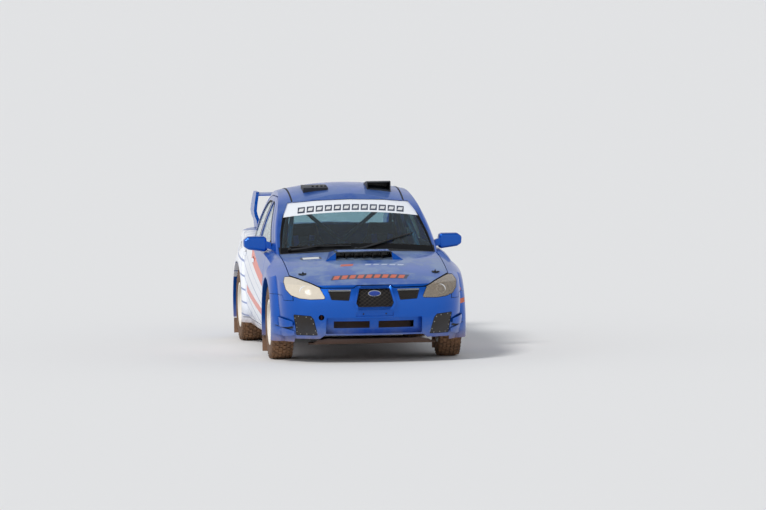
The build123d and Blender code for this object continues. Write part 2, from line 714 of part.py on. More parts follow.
def knuckle_left():
    """Front left upright with its strut, spring and brake caliper."""
    y = front_axle_y
    axle = Pos(0, y, wheel_radius)
    carrier = axle * Pos(668, 0, 0) * Rot(0, 90, 0) * Cylinder(55, 40)
    carrier += axle * Pos(706, 0, 0) * Rot(0, 90, 0) * Cylinder(24, 60)
    carrier += rod((696, y, 224), (672, y, 290), 16)
    carrier += block(565, 682, y - 22, y + 22, 372, 392)
    carrier += block(565, 610, y - 32, y + 32, 372, 470)
    carrier += rod((586, y, 380), (590, y, 716), 22)
    carrier += rod((588, y, 540), (590, y, 706), 44)
    carrier += block(642, 690, y - 140, y, 295, 355)
    return carrier + caliper(y, front_track)


def front_suspension():
    """Crossmember with the steering rack and the lower arms."""
    frame = wide(400, -1370, -1230, 232, 290)
    arm = [(390, -1235), (390, -1365), (640, -1330), (696, -1322), (713, -1302), (696, -1282), (640, -1274)]
    arms = both(prism("plan", arm, 196, 212) + block(390, 400, -1365, -1235, 196, 240))
    rack = rod((-400, -1215, 262), (400, -1215, 262), 20)
    rack += both(rod((400, -1215, 262), (545, -1215, 280), 11))
    return frame + arms + rack


def drive_shafts():
    shaft = rod((291, front_axle_y, 345), (600, front_axle_y, 325), 13)
    return both(shaft + rod((560, front_axle_y, 325), (603, front_axle_y, 325), 32))


def rear_suspension():
    """Crossmember, links, struts, hub carriers and brake calipers."""
    y = rear_axle_y
    axle = Pos(0, y, wheel_radius)
    half = block(0, 440, y - 63, y + 63, 272, 340)
    for link in (-1, 1):
        half += rod((420, y + link * 40, 290), (655, y + link * 78, 262), 13)
    half += block(640, 668, y - 98, y + 98, 240, 350)
    half += axle * Pos(690, 0, 0) * Rot(0, 90, 0) * Cylinder(24, 60)
    half += block(586, 660, y - 33, y + 33, 350, 390) + rod((608, y, 370), (604, y, 716), 22)
    half += rod((606, y, 520), (604, y, 706), 36)
    half += block(642, 696, y - 140, y, 295, 350) + caliper(y, rear_track)
    return both(half)


def export_all(pieces):
    os.makedirs("parts", exist_ok=True)
    for node, shape in pieces.items():
        export_step(shape, "parts/" + node + ".step")


def front_pieces(forms, screen_hole):
    bonnet, wings, bumper, cowl = front_panels(forms)
    bumper, meshes, covers = bumper_details(bumper, forms)
    lenses, bowls = headlamps(forms)
    return {
        "front_bumper": bumper,
        "front_grilles": meshes,
        "lamp_covers": covers,
        "headlamp_lenses": lenses,
        "headlamp_bowls": bowls,
        "front_wings": wings,
        "bonnet": scooped(bonnet),
        "cowl": cowl_panel(forms, screen_hole),
    }


def side_pieces(forms, holes, rear_hole):
    """Both sides, with doors, glass and mirrors."""
    doors, panes, side = left_doors(forms, left_wall(forms))
    side = body_side(largest(side - holes[0] - holes[1] - rear_hole))
    left = {
        "door_front": doors[0],
        "door_rear": doors[1],
        "glass_front": panes[0],
        "glass_rear": panes[1],
        "mirror": mirror_left(),
    }
    pieces = {"body_sides": both(side)}
    for node, shape in left.items():
        pieces[node + "_left"] = shape
        pieces[node + "_right"] = mirrored(shape)
    return pieces


def rear_pieces(forms):
    lid, lamps, bumper, hole = rear_panels(forms)
    bumper -= block(470 - 48, 470 + 48, 2000, 2400, 100, 308)
    return {"boot_lid": lid, "tail_lamps": lamps, "rear_bumper": bumper, "rear_wing": rear_wing()}, hole


def wheel_pieces():
    """Tyres and rims at the four corners."""
    places = [
        # corner, side, axle, track
        ("front_left", 1, front_axle_y, front_track),
        ("front_right", -1, front_axle_y, front_track),
        ("rear_left", 1, rear_axle_y, rear_track),
        ("rear_right", -1, rear_axle_y, rear_track),
    ]
    pieces = {}
    for name, shape in (("tyre", revolved_wheel(tyre_profile, 0)), ("rim", rim(0))):
        for corner, side, axle, track in places:
            turned = shape if side > 0 else mirrored(shape)
            pieces[name + "_" + corner] = Pos(side * track, axle, wheel_radius) * turned
    return pieces


def inner_pieces():
    knuckle = knuckle_left()
    return {
        "roof_vents": roof_vents(),
        "floor_pan": floor_pan(),
        "wheel_housings": wheel_housings(),
        "sump_guard": sump_guard(),
        "engine_block": engine_block(),
        "radiator": radiator(),
        "exhaust": exhaust(),
        "dashboard": dashboard(),
        "steering_wheel": steering_wheel(),
        "seats": seats(),
        "roll_cage": roll_cage(),
        "mud_flaps": mud_flaps(),
        "front_suspension": front_suspension(),
        "drive_shafts": drive_shafts(),
        "rear_suspension": rear_suspension(),
        "knuckle_left": knuckle,
        "knuckle_right": mirrored(knuckle),
    }


forms = Forms()
panes, holes = screens(forms)
pieces, rear_hole = rear_pieces(forms)
pieces.update(front_pieces(forms, holes[0]))
pieces.update(side_pieces(forms, holes, rear_hole))
roof, shelf = roof_and_shelf(forms, holes, rear_hole)
pieces.update({"windscreen": panes[0], "rear_window": panes[1], "roof_panel": roof, "rear_shelf": shelf})
pieces.update(wheel_pieces())
pieces.update(inner_pieces())
export_all(pieces)
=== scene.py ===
import bpy
import bmesh
import math
from functools import partial
from mathutils import Matrix, Vector
from mathutils.bvhtree import BVHTree


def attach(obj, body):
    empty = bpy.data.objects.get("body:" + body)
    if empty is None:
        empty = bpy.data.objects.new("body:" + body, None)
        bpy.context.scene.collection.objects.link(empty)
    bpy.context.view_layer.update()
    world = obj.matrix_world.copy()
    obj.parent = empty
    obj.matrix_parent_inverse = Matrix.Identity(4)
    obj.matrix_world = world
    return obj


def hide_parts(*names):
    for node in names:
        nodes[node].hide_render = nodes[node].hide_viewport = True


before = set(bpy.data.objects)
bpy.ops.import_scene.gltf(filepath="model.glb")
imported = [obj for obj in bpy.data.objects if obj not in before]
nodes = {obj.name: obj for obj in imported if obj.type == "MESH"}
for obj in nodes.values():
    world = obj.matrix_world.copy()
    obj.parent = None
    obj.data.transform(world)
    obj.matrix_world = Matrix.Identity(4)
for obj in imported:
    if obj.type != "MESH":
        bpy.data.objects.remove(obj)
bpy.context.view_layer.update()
scene = bpy.context.scene
print("frame loaded with", len(nodes), "nodes")

frontAxle = -1.302
rearAxle = 1.238
wheelHeight = 0.325


def linear(code):
    # sRGB hex to linear RGBA
    values = [int(code[i:i + 2], 16) / 255 for i in (1, 3, 5)]
    return [v / 12.92 if v <= 0.04045 else ((v + 0.055) / 1.055) ** 2.4 for v in values] + [1.0]


def addNode(tree, kind, inputs=(), **settings):
    # a number or colour is set on its socket, and another node's output is linked to it
    node = tree.nodes.new("ShaderNode" + kind)
    for key, value in settings.items():
        setattr(node, key, value)
    for socket, value in inputs.items() if isinstance(inputs, dict) else enumerate(inputs):
        if isinstance(value, bpy.types.NodeSocket):
            tree.links.new(value, node.inputs[socket])
        else:
            node.inputs[socket].default_value = value
    return node.outputs


def newMaterial(name):
    material = bpy.data.materials.new(name)
    material.use_nodes = True
    material.node_tree.nodes.clear()
    add = partial(addNode, material.node_tree)
    return material, add, add("TexCoord")["Object"]


smooth = {"interpolation_type": "SMOOTHSTEP"}
multiply, multiplyAdd = {"operation": "MULTIPLY"}, {"operation": "MULTIPLY_ADD"}
lessThan, greaterThan = {"operation": "LESS_THAN"}, {"operation": "GREATER_THAN"}
absolute, subtract, maximum = {"operation": "ABSOLUTE"}, {"operation": "SUBTRACT"}, {"operation": "MAXIMUM"}
blend = {"data_type": "RGBA"}    # its colour sockets are 6 and 7, its colour result 2

dust = {
    "brown": "#96735a", "pale": "#7b8da6",    # low on the car, and dried thin on its top
    "top": 0.48, "sides": 0.8, "highest": 0.26, "full": -0.04, "ragged": -0.3, "browned": (0.12, 0.34),
    "blotch": 0.24, "speckle": 0.03, "flat": (0.75, 0.985),
}


def dustCover(add, place, amount=1.0, top=None):
    # heavy below the sills, thin and blotchy on what faces up: how much of the dust shows, and its colour
    z = add("SeparateXYZ", [place])[2]
    facing = add("SeparateXYZ", [add("TexCoord")["Normal"]])[2]
    blotch = add("TexNoise", {"Vector": place, "Scale": 1 / dust["blotch"], "Detail": 5.0, "Roughness": 0.62})["Fac"]
    fine = add("TexNoise", {"Vector": place, "Scale": 1 / dust["speckle"], "Detail": 4.0, "Roughness": 0.6})["Fac"]
    edge = add("Math", [blotch, dust["ragged"], z], **multiplyAdd)[0]
    low = add("MapRange", [edge, dust["highest"], dust["full"]], **smooth)[0]
    low = add("Math", [low, dust["sides"]], **multiply)[0]
    drift = add("MapRange", [blotch, 0.38, 0.62], **smooth)[0]
    thin = add("Math", [add("Math", [drift, 0.85, 0.2], **multiplyAdd)[0], dust["top"] if top is None else top],
               **multiply)[0]
    upper = add("Math", [add("MapRange", [facing, *dust["flat"]], **smooth)[0], thin], **multiply)[0]
    both = add("Math", [low, upper], **maximum)[0]
    speckled = add("Math", [both, add("Math", [fine, 0.6, 0.68], **multiplyAdd)[0]], **multiply)[0]
    tone = add("MapRange", [z, *dust["browned"]], **smooth)[0]
    colour = add("Mix", {0: tone, 6: linear(dust["brown"]), 7: linear(dust["pale"])}, **blend)[2]
    return add("Math", [speckled, amount], use_clamp=True, **multiply)[0], colour


paintValues = {
    "rough": 0.3, "coat": 0.45, "coatRough": 0.04, "specular": 0.25, "flake": 0.6,
    "peel": 0.004, "peelDepth": 0.0004, "grain": 0.002, "whiteGrain": 0.003, "bonnetDust": 0.75,
}


def dustyPaint(name, colourOf, top=None):
    # sprayed paint under lacquer: clear reflections, metal flake glinting in the blue, dulled where dust lies
    v = paintValues
    material, add, place = newMaterial(name)
    colour, blueShare = colourOf(add, place)
    mask, dusty = dustCover(add, place, 1.0, top)
    clean = add("Math", [1.0, mask], **subtract)[0]
    metal = add("Math", [clean, add("Math", [blueShare, v["flake"]], **multiply)[0]], **multiply)[0]
    peel = add("TexNoise", {"Vector": place, "Scale": 1 / v["peel"], "Detail": 2.0, "Roughness": 0.55})["Fac"]
    shader = add("BsdfPrincipled", {
        "Base Color": add("Mix", {0: mask, 6: colour, 7: dusty}, **blend)[2],
        "Roughness": add("Math", [mask, 0.6, v["rough"]], use_clamp=True, **multiplyAdd)[0],
        "Normal": add("Bump", {"Strength": 0.05, "Distance": v["peelDepth"], "Height": peel})[0],
        "Metallic": metal, "Specular IOR Level": v["specular"],
        "Coat Weight": v["coat"], "Coat Roughness": v["coatRough"]})[0]
    add("OutputMaterial", {"Surface": shader})
    return material


livery = {
    "blue": "#0050b0", "lightBlue": "#0a68d0", "white": "#e9ebf0", "offWhite": "#dfe2e8",
    "orange": "#e04a20", "grey": "#8f9bbd", "black": "#0b0d12",
    # lines across the side as (rise for each metre rearward, height at the middle of the car)
    "slash": (0.186, 0.79), "slashHalf": 0.05, "lowSlash": (0.12, 0.44), "lowSlashHalf": 0.035, "lowSlashEnd": 0.6,
    "rail": (-0.05, 1.06),
    # lines up the side as (shift rearward for each metre up, place at the ground)
    "slashEnd": (0.9, -0.45), "nose": (-0.2, -0.6),
    "stripes": 9.0, "stripeShare": 0.86, "stripesBelow": -0.12,    # to the metre, where one starts, and from where
}


def bodyBlue(add, place):
    grain = paintValues["grain"]
    flake = add("TexNoise", {"Vector": place, "Scale": 1 / grain, "Detail": 2.0, "Roughness": 0.55})["Fac"]
    share = add("Math", [flake, 0.3], **multiply)[0]
    return add("Mix", {0: share, 6: linear(livery["blue"]), 7: linear(livery["lightBlue"])}, **blend)[2], 1.0


scoopMouth = {"half": 0.25, "rear": -1.18, "low": 0.868, "high": 0.944}


def bonnetBlue(add, place):
    # blue outside; the scoop's throat and vanes are sprayed black
    x, y, z = add("SeparateXYZ", [place])
    throat = add("Math", [add("Math", [x], **absolute)[0], scoopMouth["half"]], **lessThan)[0]
    for inside in (add("Math", [y, scoopMouth["rear"]], **lessThan)[0],
                   add("Math", [z, scoopMouth["low"]], **greaterThan)[0],
                   add("Math", [z, scoopMouth["high"]], **lessThan)[0]):
        throat = add("Math", [throat, inside], **multiply)[0]
    colour, blueShare = bodyBlue(add, place)
    colour = add("Mix", {0: throat, 6: colour, 7: linear(livery["black"])}, **blend)[2]
    return colour, add("Math", [blueShare, throat], **subtract)[0]


def whiteCoat(add, place):
    size = paintValues["whiteGrain"]
    grain = add("TexNoise", {"Vector": place, "Scale": 1 / size, "Detail": 2.0, "Roughness": 0.55})["Fac"]
    return add("Mix", {0: grain, 6: linear(livery["white"]), 7: linear(livery["offWhite"])}, **blend)[2], 0.0


def sideLivery(add, place):
    # blue nose and roof rails, an orange slash rising rearward, then white with pale stripes
    v = livery
    x, y, z = add("SeparateXYZ", [place])
    rise, lowRise, railRise = [
        add("Math", [z, add("Math", [y, *v[line]], **multiplyAdd)[0]], **subtract)[0]
        for line in ("slash", "lowSlash", "rail")]
    forward, nose = [
        add("Math", [y, add("Math", [z, *v[line]], **multiplyAdd)[0]], **lessThan)[0]
        for line in ("slashEnd", "nose")]
    teeth = add("Math", [add("Math", [rise, v["stripes"]], **multiply)[0]], operation="FRACT")[0]
    stripe = add("Math", [add("Math", [teeth, v["stripeShare"]], **greaterThan)[0],
                          add("Math", [rise, v["stripesBelow"]], **lessThan)[0]], **multiply)[0]
    colour = add("Mix", {0: stripe, 6: linear(v["white"]), 7: linear(v["grey"])}, **blend)[2]
    slash = add("Math", [add("Math", [add("Math", [rise], **absolute)[0], v["slashHalf"]], **lessThan)[0], forward],
                **multiply)[0]
    lowSlash = add("Math", [add("Math", [lowRise], **absolute)[0], v["lowSlashHalf"]], **lessThan)[0]
    lowSlash = add("Math", [lowSlash, add("Math", [y, v["lowSlashEnd"]], **lessThan)[0]], **multiply)[0]
    orange = add("Math", [slash, lowSlash], **maximum)[0]
    colour = add("Mix", {0: orange, 6: colour, 7: linear(v["orange"])}, **blend)[2]
    # what faces the cabin is plain blue
    facing = add("SeparateXYZ", [add("TexCoord")["Normal"]])[0]
    inward = add("Math", [add("Math", [facing, x], **multiply)[0], -0.05], **lessThan)[0]
    isBlue = add("Math", [add("Math", [rise, v["slashHalf"]], **greaterThan)[0], forward], **multiply)[0]
    for blue in (nose, add("Math", [railRise, 0.0], **greaterThan)[0], inward):
        isBlue = add("Math", [isBlue, blue], **maximum)[0]
    return add("Mix", {0: isBlue, 6: colour, 7: bodyBlue(add, place)[0]}, **blend)[2], isBlue


def plainFinish(name, colour, rough, second, metal=0.0, grain=0.002, dusted=0.0):
    # one finish with its own grain (metres across a grain), and dust where it is low on the car
    material, add, place = newMaterial(name)
    fleck = add("TexNoise", {"Vector": place, "Scale": 1 / grain, "Detail": 4.0, "Roughness": 0.55})["Fac"]
    base = add("Mix", {0: fleck, 6: linear(colour), 7: linear(second)}, **blend)[2]
    roughness = add("Math", [fleck, 0.16, rough - 0.08], use_clamp=True, **multiplyAdd)[0]
    if dusted:
        mask, dusty = dustCover(add, place, dusted)
        base = add("Mix", {0: mask, 6: base, 7: dusty}, **blend)[2]
        roughness = add("Math", [mask, 0.5, roughness], use_clamp=True, **multiplyAdd)[0]
    bump = add("Bump", {"Strength": 0.4, "Distance": 0.0003, "Height": fleck})[0]
    shader = add("BsdfPrincipled", {"Base Color": base, "Metallic": metal, "Roughness": roughness, "Normal": bump})[0]
    add("OutputMaterial", {"Surface": shader})
    return material


glassValues = {
    "blotch": 0.18, "ior": 1.45,
    # headlamp lenses: size of the blotches, plastic, the milky film on the car's right one, lighter as painted
    # sunlight, and on its left one, darker as painted shade
    "lensBlotch": 0.09, "lens": "#f6f4ea", "rightFilmSunlit": "#e6dac6", "leftFilmShaded": "#a69886",
}


def filmedGlass(add, place, tint, haze, film, shine):
    # clear glass under a blotchy film of dust, haze being the film's share
    v = glassValues
    blotch = add("TexNoise", {"Vector": place, "Scale": 1 / v["blotch"], "Detail": 5.0, "Roughness": 0.6})["Fac"]
    clear = add("BsdfPrincipled", {"Base Color": linear(tint), "Transmission Weight": 1.0, "IOR": v["ior"],
                                   "Roughness": 0.0, "Specular IOR Level": shine})[0]
    dirt = add("BsdfPrincipled", {"Base Color": linear(film), "Roughness": 0.8})[0]
    cover = add("Math", [add("Math", [blotch, 0.2], operation="ADD")[0], haze], use_clamp=True, **multiply)[0]
    return add("MixShader", [cover, clear, dirt])[0]


def windowGlass(name, tint, haze, film):
    # toughened glass: green-grey and clear where it is wiped
    material, add, place = newMaterial(name)
    add("OutputMaterial", {"Surface": filmedGlass(add, place, tint, haze, film, 0.3)})
    return material


screenValues = {
    "tint": "#a4cfe0", "film": "#b8b2a8", "border": "#0b0b0c", "strip": "#e8eaec",
    "stripLow": 1.241, "stripBow": -0.115,     # its lower edge in the middle, and its fall with distance squared
    "base": 0.942, "baseBow": -0.083, "cowlBand": 0.042,
    "half": 0.70, "band": 0.03, "lean": -0.2, "leanBow": -0.5, "leanFrom": 0.94,
}


def screenGlass():
    # laminated glass, bluish, with a black ceramic border fired on and a plain white vinyl sun strip
    v = screenValues
    material, add, place = newMaterial("laminatedScreenGlass")
    glass = filmedGlass(add, place, v["tint"], 0.02, v["film"], 0.2)
    x, y, z = add("SeparateXYZ", [place])
    square = add("Math", [x, x], **multiply)[0]
    strip = add("Math", [z, add("Math", [square, v["stripBow"], v["stripLow"]], **multiplyAdd)[0]], **greaterThan)[0]
    low = add("Math", [z, add("Math", [square, v["baseBow"], v["base"] + v["cowlBand"]], **multiplyAdd)[0]],
              **lessThan)[0]
    up = add("Math", [z, v["leanFrom"]], **subtract)[0]
    edge = add("Math", [up, v["lean"], v["half"] - v["band"]], **multiplyAdd)[0]
    edge = add("Math", [add("Math", [up, up], **multiply)[0], v["leanBow"], edge], **multiplyAdd)[0]
    side = add("Math", [add("Math", [x], **absolute)[0], edge], **greaterThan)[0]
    border = add("Math", [side, low], **maximum)[0]
    ceramic = add("BsdfPrincipled", {"Base Color": linear(v["border"]), "Roughness": 0.25,
                                     "Specular IOR Level": 0.15})[0]
    vinyl = add("BsdfPrincipled", {"Base Color": linear(v["strip"]), "Roughness": 0.35})[0]
    bordered = add("MixShader", [border, glass, ceramic])[0]
    add("OutputMaterial", {"Surface": add("MixShader", [strip, bordered, vinyl])[0]})
    return material


def lampGlass():
    # polycarbonate lenses dulled by grit, with painted light: the car's right one lighter and more filmed in painted
    # sunlight, its left one darker in painted shade
    v = glassValues
    material, add, place = newMaterial("polycarbonateLensMoulded")
    right = add("Math", [add("SeparateXYZ", [place])[0], 0.0], **lessThan)[0]
    # the film's colour: lighter on the car's right as painted sunlight, darker on its left as painted shade
    haze = add("Mix", {0: right, 6: linear(v["leftFilmShaded"]), 7: linear(v["rightFilmSunlit"])}, **blend)[2]
    blotch = add("TexNoise", {"Vector": place, "Scale": 1 / v["lensBlotch"], "Detail": 4.0, "Roughness": 0.6})["Fac"]
    # the car's right lens takes more of the film, as painted sunlight
    cover = add("Math", [right, 0.28, add("Math", [blotch, 0.25, 0.34], **multiplyAdd)[0]], use_clamp=True,
                **multiplyAdd)[0]
    clear = add("BsdfPrincipled", {"Base Color": linear(v["lens"]), "Transmission Weight": 1.0, "IOR": v["ior"],
                                   "Roughness": 0.12, "Specular IOR Level": 0.2})[0]
    milky = add("BsdfPrincipled", {"Base Color": haze, "Roughness": 0.6, "Specular IOR Level": 0.25})[0]
    add("OutputMaterial", {"Surface": add("MixShader", [cover, clear, milky])[0]})
    return material


rimFinish = {
    "paint": ("#e6e2da", "#f0ede6"), "iron": ("#5a5450", "#6d6761"), "dirt": "#c9b39c",
    "discFace": 0.757, "discRadius": 0.15, "barrel": 0.2, "grain": 0.003, "blotch": 0.08,
}


def rimPaint():
    # cast wheel in white paint, its brake disc and bell bare iron, both brown with dust
    v = rimFinish
    material, add, place = newMaterial("whiteCastWheelPainted")
    x, y, z = add("SeparateXYZ", [place])
    fromMiddle = add("Math", [add("Math", [y, (frontAxle + rearAxle) / 2], **subtract)[0]], **absolute)[0]
    along = add("Math", [fromMiddle, (rearAxle - frontAxle) / 2], **subtract)[0]
    up = add("Math", [z, wheelHeight], **subtract)[0]
    square = add("Math", [along, along, add("Math", [up, up], **multiply)[0]], **multiplyAdd)[0]
    reach = add("Math", [square], operation="SQRT")[0]
    disc = add("Math", [add("Math", [add("Math", [x], **absolute)[0], v["discFace"]], **lessThan)[0],
                        add("Math", [reach, v["discRadius"]], **lessThan)[0]], **multiply)[0]
    grain = add("TexNoise", {"Vector": place, "Scale": 1 / v["grain"], "Detail": 3.0, "Roughness": 0.55})["Fac"]
    paint, iron = [add("Mix", {0: grain, 6: linear(v[part][0]), 7: linear(v[part][1])}, **blend)[2]
                   for part in ("paint", "iron")]
    base = add("Mix", {0: disc, 6: paint, 7: iron}, **blend)[2]
    blotch = add("TexNoise", {"Vector": place, "Scale": 1 / v["blotch"], "Detail": 5.0, "Roughness": 0.6})["Fac"]
    dirt = add("Math", [add("MapRange", [blotch, 0.35, 0.75], **smooth)[0], 0.3], **multiply)[0]
    inner = add("Math", [add("MapRange", [reach, v["discRadius"], v["barrel"]], **smooth)[0], 0.25], **multiply)[0]
    base = add("Mix", {0: add("Math", [dirt, inner], **maximum)[0], 6: base, 7: linear(v["dirt"])}, **blend)[2]
    bump = add("Bump", {"Strength": 0.3, "Distance": 0.0003, "Height": grain})[0]
    shader = add("BsdfPrincipled", {"Base Color": base, "Roughness": 0.55, "Normal": bump})[0]
    add("OutputMaterial", {"Surface": shader})
    return material


tyreFinish = {
    "rubber": ("#2a2623", "#38322d"), "dirt": "#9c7453", "blotch": 0.06, "grain": 0.003, "wall": (0.826, 0.836),
}


def tyreRubber():
    # loose-surface tyre rubber, near black in its grooves and brown with dust where it rolls
    v = tyreFinish
    material, add, place = newMaterial("tyreRubberVulcanised")
    blotch = add("TexNoise", {"Vector": place, "Scale": 1 / v["blotch"], "Detail": 5.0, "Roughness": 0.65})["Fac"]
    grain = add("TexNoise", {"Vector": place, "Scale": 1 / v["grain"], "Detail": 3.0, "Roughness": 0.55})["Fac"]
    clean = add("Mix", {0: grain, 6: linear(v["rubber"][0]), 7: linear(v["rubber"][1])}, **blend)[2]
    amount = add("Math", [add("MapRange", [blotch, 0.3, 0.7], **smooth)[0], 0.5, 0.42], **multiplyAdd)[0]
    fromMiddle = add("Math", [add("SeparateXYZ", [place])[0]], **absolute)[0]
    wall = add("MapRange", [fromMiddle, *v["wall"]], **smooth)[0]
    amount = add("Math", [amount, add("Math", [wall, -0.45, 1.0], **multiplyAdd)[0]], **multiply)[0]
    base = add("Mix", {0: amount, 6: clean, 7: linear(v["dirt"])}, **blend)[2]
    bump = add("Bump", {"Strength": 0.5, "Distance": 0.0006, "Height": grain})[0]
    shader = add("BsdfPrincipled", {"Base Color": base, "Roughness": 0.9, "Normal": bump})[0]
    add("OutputMaterial", {"Surface": shader})
    return material


paintBlue = dustyPaint("blueCarPaintSprayed", bodyBlue)
paintTop = dustyPaint("blueBonnetPaintSprayed", bonnetBlue, paintValues["bonnetDust"])
paintSides = dustyPaint("sideLiveryPaintSprayed", sideLivery)
paintWhite = dustyPaint("whiteCarPaintSprayed", whiteCoat)
# cut vinyl film: flat colour with a soft sheen, greyed by dust
filmOrange = plainFinish("orangeVinylFilmCut", "#c2502e", 0.4, "#cf6238", dusted=0.4)
filmWhite = plainFinish("whiteVinylFilmCut", "#e4e4e2", 0.4, "#d8d8d4", dusted=0.3)
filmPale = plainFinish("paleVinylFilmCut", "#aab6cc", 0.4, "#b6c1d4", dusted=0.3)
filmDark = plainFinish("darkVinylFilmCut", "#252a3c", 0.4, "#2e3448", dusted=0.3)
# moulded plastics: dull and faintly pebbled, the lamp covers brown with dust
plasticBlack = plainFinish("blackPolypropyleneMoulded", "#0c0c0d", 0.6, "#141415", dusted=0.15)
plasticGrey = plainFinish("greyAbsMoulded", "#1c1c1e", 0.5, "#29292b", dusted=0.25)
coverBrown = plainFinish("lampCoverVinylMoulded", "#15100d", 0.45, "#211812", grain=0.006, dusted=0.15)
cabinDark = plainFinish("dashVinylEmbossed", "#0d0f10", 0.85, "#14181a", grain=0.003)
shellBlack = plainFinish("seatShellGlassfibreMoulded", "#18191b", 0.3, "#1f2022")
flapBrown = plainFinish("mudFlapPolyurethaneSheet", "#46382d", 0.8, "#6a5747", grain=0.03, dusted=0.9)
# rubber seal, and a flat black of painted shade for the grille openings and the fuel flap's gap: the darkest lines of
# the car, without a highlight
rubberBlack = plainFinish("blackEpdmSealExtruded", "#0d0d0e", 0.75, "#161617", dusted=0.2)
shadeBlack = plainFinish("paintedShadeBlackFlat", "#050505", 0.9, "#0a0908")
# acrylic lenses: deep colour and a hard small highlight
lensRed = plainFinish("redAcrylicLensMoulded", "#7d0d0d", 0.15, "#8f1414", dusted=0.6)
lensAmber = plainFinish("amberAcrylicLensMoulded", "#c4701c", 0.15, "#cf7d26", dusted=0.4)
lensClear = plainFinish("clearAcrylicLensMoulded", "#c9c4bf", 0.15, "#d4cfca", dusted=0.4)
badgeBlue = plainFinish("badgeEnamelFired", "#0e2f80", 0.15, "#143a94")
# lamp insides: satin silver bowl, pale ring, smoky glass dome
chrome = plainFinish("lampReflectorMetallised", "#8f9092", 0.55, "#8f9092", metal=0.6)
ringWhite = plainFinish("lampRingPolycarbonateMoulded", "#eef2f8", 0.35, "#e4e9f1")
projector = plainFinish("projectorGlassMoulded", "#4d4a58", 0.45, "#5a5765")
mirrorSilver = plainFinish("mirrorGlassSilvered", "#d3d6d8", 0.08, "#d3d6d8", metal=1.0)
# metals: plated parts grey and bright, castings dark and coarse, rolled guard brown with dried mud and darkened as
# painted shade
zinc = plainFinish("zincPlatedFastener", "#a9a8a2", 0.35, "#8f8d86", metal=1.0)
trimBright = plainFinish("gritAnodisedTrimStrip", "#b7bbc0", 0.3, "#9da2a8", metal=0.7)
steel = plainFinish("steelDrawnTube", "#6f6b66", 0.45, "#5f5b56", metal=1.0, dusted=0.8)
castIron = plainFinish("castIronSandCast", "#2e2c2b", 0.7, "#3b3733", metal=0.6, grain=0.004, dusted=0.8)
# the guard's mud brown is darkened as painted shade under the car; the radiator takes the same
aluminium = plainFinish("guardAluminiumRolled", "#43322a", 0.6, "#584236", metal=0.5, grain=0.02, dusted=0.3)
# painted and coated steel: an even satin
meshBlack = plainFinish("blackSteelMeshPowderCoated", "#332c27", 0.5, "#4a3f35", dusted=0.2)
ringRed = plainFinish("redSteelPainted", "#6b2a1c", 0.6, "#7d3a26")
cagePaint = plainFinish("cageTubePainted", "#567082", 0.45, "#637e90")
floorGrey = plainFinish("floorPrimerSprayed", "#8b8d90", 0.6, "#97999b", dusted=1.0)
# cloth and webbing: no highlight, threads too fine to show drawn at 2 to 3 mm
seatCloth = plainFinish("seatFabricWoven", "#15161b", 0.9, "#22242c", grain=0.003)
webbing = plainFinish("harnessPolyesterWebbing", "#1f3f8f", 0.8, "#2a4da3")
suede = plainFinish("wheelSuedeNapped", "#17171a", 0.95, "#222226")
glassClear = windowGlass("toughenedGlassTinted", "#cfe2dc", 0.5, "#cdd8dc")
glassRear = windowGlass("heatedRearGlassTinted", "#e6f2f0", 0.15, "#b9c2c0")
glassScreen = screenGlass()
glassLens = lampGlass()
rimWhite = rimPaint()
rubber = tyreRubber()

finishes = {
    paintBlue: ["front_bumper", "front_wings", "roof_panel", "rear_shelf", "boot_lid", "rear_wing",
                "rear_bumper", "mirror_left", "mirror_right"],
    paintTop: ["bonnet"],
    paintSides: ["body_sides", "door_front_left", "door_front_right", "door_rear_left", "door_rear_right"],
    floorGrey: ["floor_pan"],
    # the sheet behind the grille meshes is black as painted shade
    shadeBlack: ["front_grilles"],
    plasticBlack: ["cowl"],
    cabinDark: ["dashboard"],
    coverBrown: ["lamp_covers"],
    plasticGrey: ["roof_vents", "wheel_housings"],
    glassScreen: ["windscreen"],
    glassClear: ["glass_front_left", "glass_front_right", "glass_rear_left", "glass_rear_right"],
    glassRear: ["rear_window"],
    glassLens: ["headlamp_lenses"],
    lensRed: ["tail_lamps"],
    chrome: ["headlamp_bowls"],
    rubber: ["tyre_front_left", "tyre_front_right", "tyre_rear_left", "tyre_rear_right"],
    rimWhite: ["rim_front_left", "rim_front_right", "rim_rear_left", "rim_rear_right"],
    flapBrown: ["mud_flaps"],
    aluminium: ["sump_guard", "radiator"],
    castIron: ["engine_block", "front_suspension", "rear_suspension", "knuckle_left", "knuckle_right"],
    steel: ["exhaust", "drive_shafts"],
    cagePaint: ["roll_cage"],
    seatCloth: ["seats"],
    suede: ["steering_wheel"],
}
for material, names in finishes.items():
    for name in names:
        mesh = nodes[name].data
        mesh.materials.clear()
        mesh.materials.append(material)
print("materials set")


def addPiece(name, bm, material, body, sharp=32.0):
    bmesh.ops.recalc_face_normals(bm, faces=bm.faces)
    mesh = bpy.data.meshes.new(name)
    bm.to_mesh(mesh)
    bm.free()
    for face in mesh.polygons:
        face.use_smooth = True
    mesh.set_sharp_from_angle(angle=math.radians(sharp))
    mesh.materials.append(material)
    piece = bpy.data.objects.new(name, mesh)
    scene.collection.objects.link(piece)
    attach(piece, body)
    return piece


def solidBox(bm, centre, size, turn, edge):
    place = Matrix.Translation(centre) @ (turn or Matrix.Identity(4)) @ Matrix.Diagonal((*size, 1))
    made = bmesh.ops.create_cube(bm, size=1, matrix=place)["verts"]
    edges = list({e for v in made for e in v.link_edges})
    bmesh.ops.bevel(bm, geom=edges, offset=edge, segments=2, profile=0.5, affect="EDGES", material=-1)


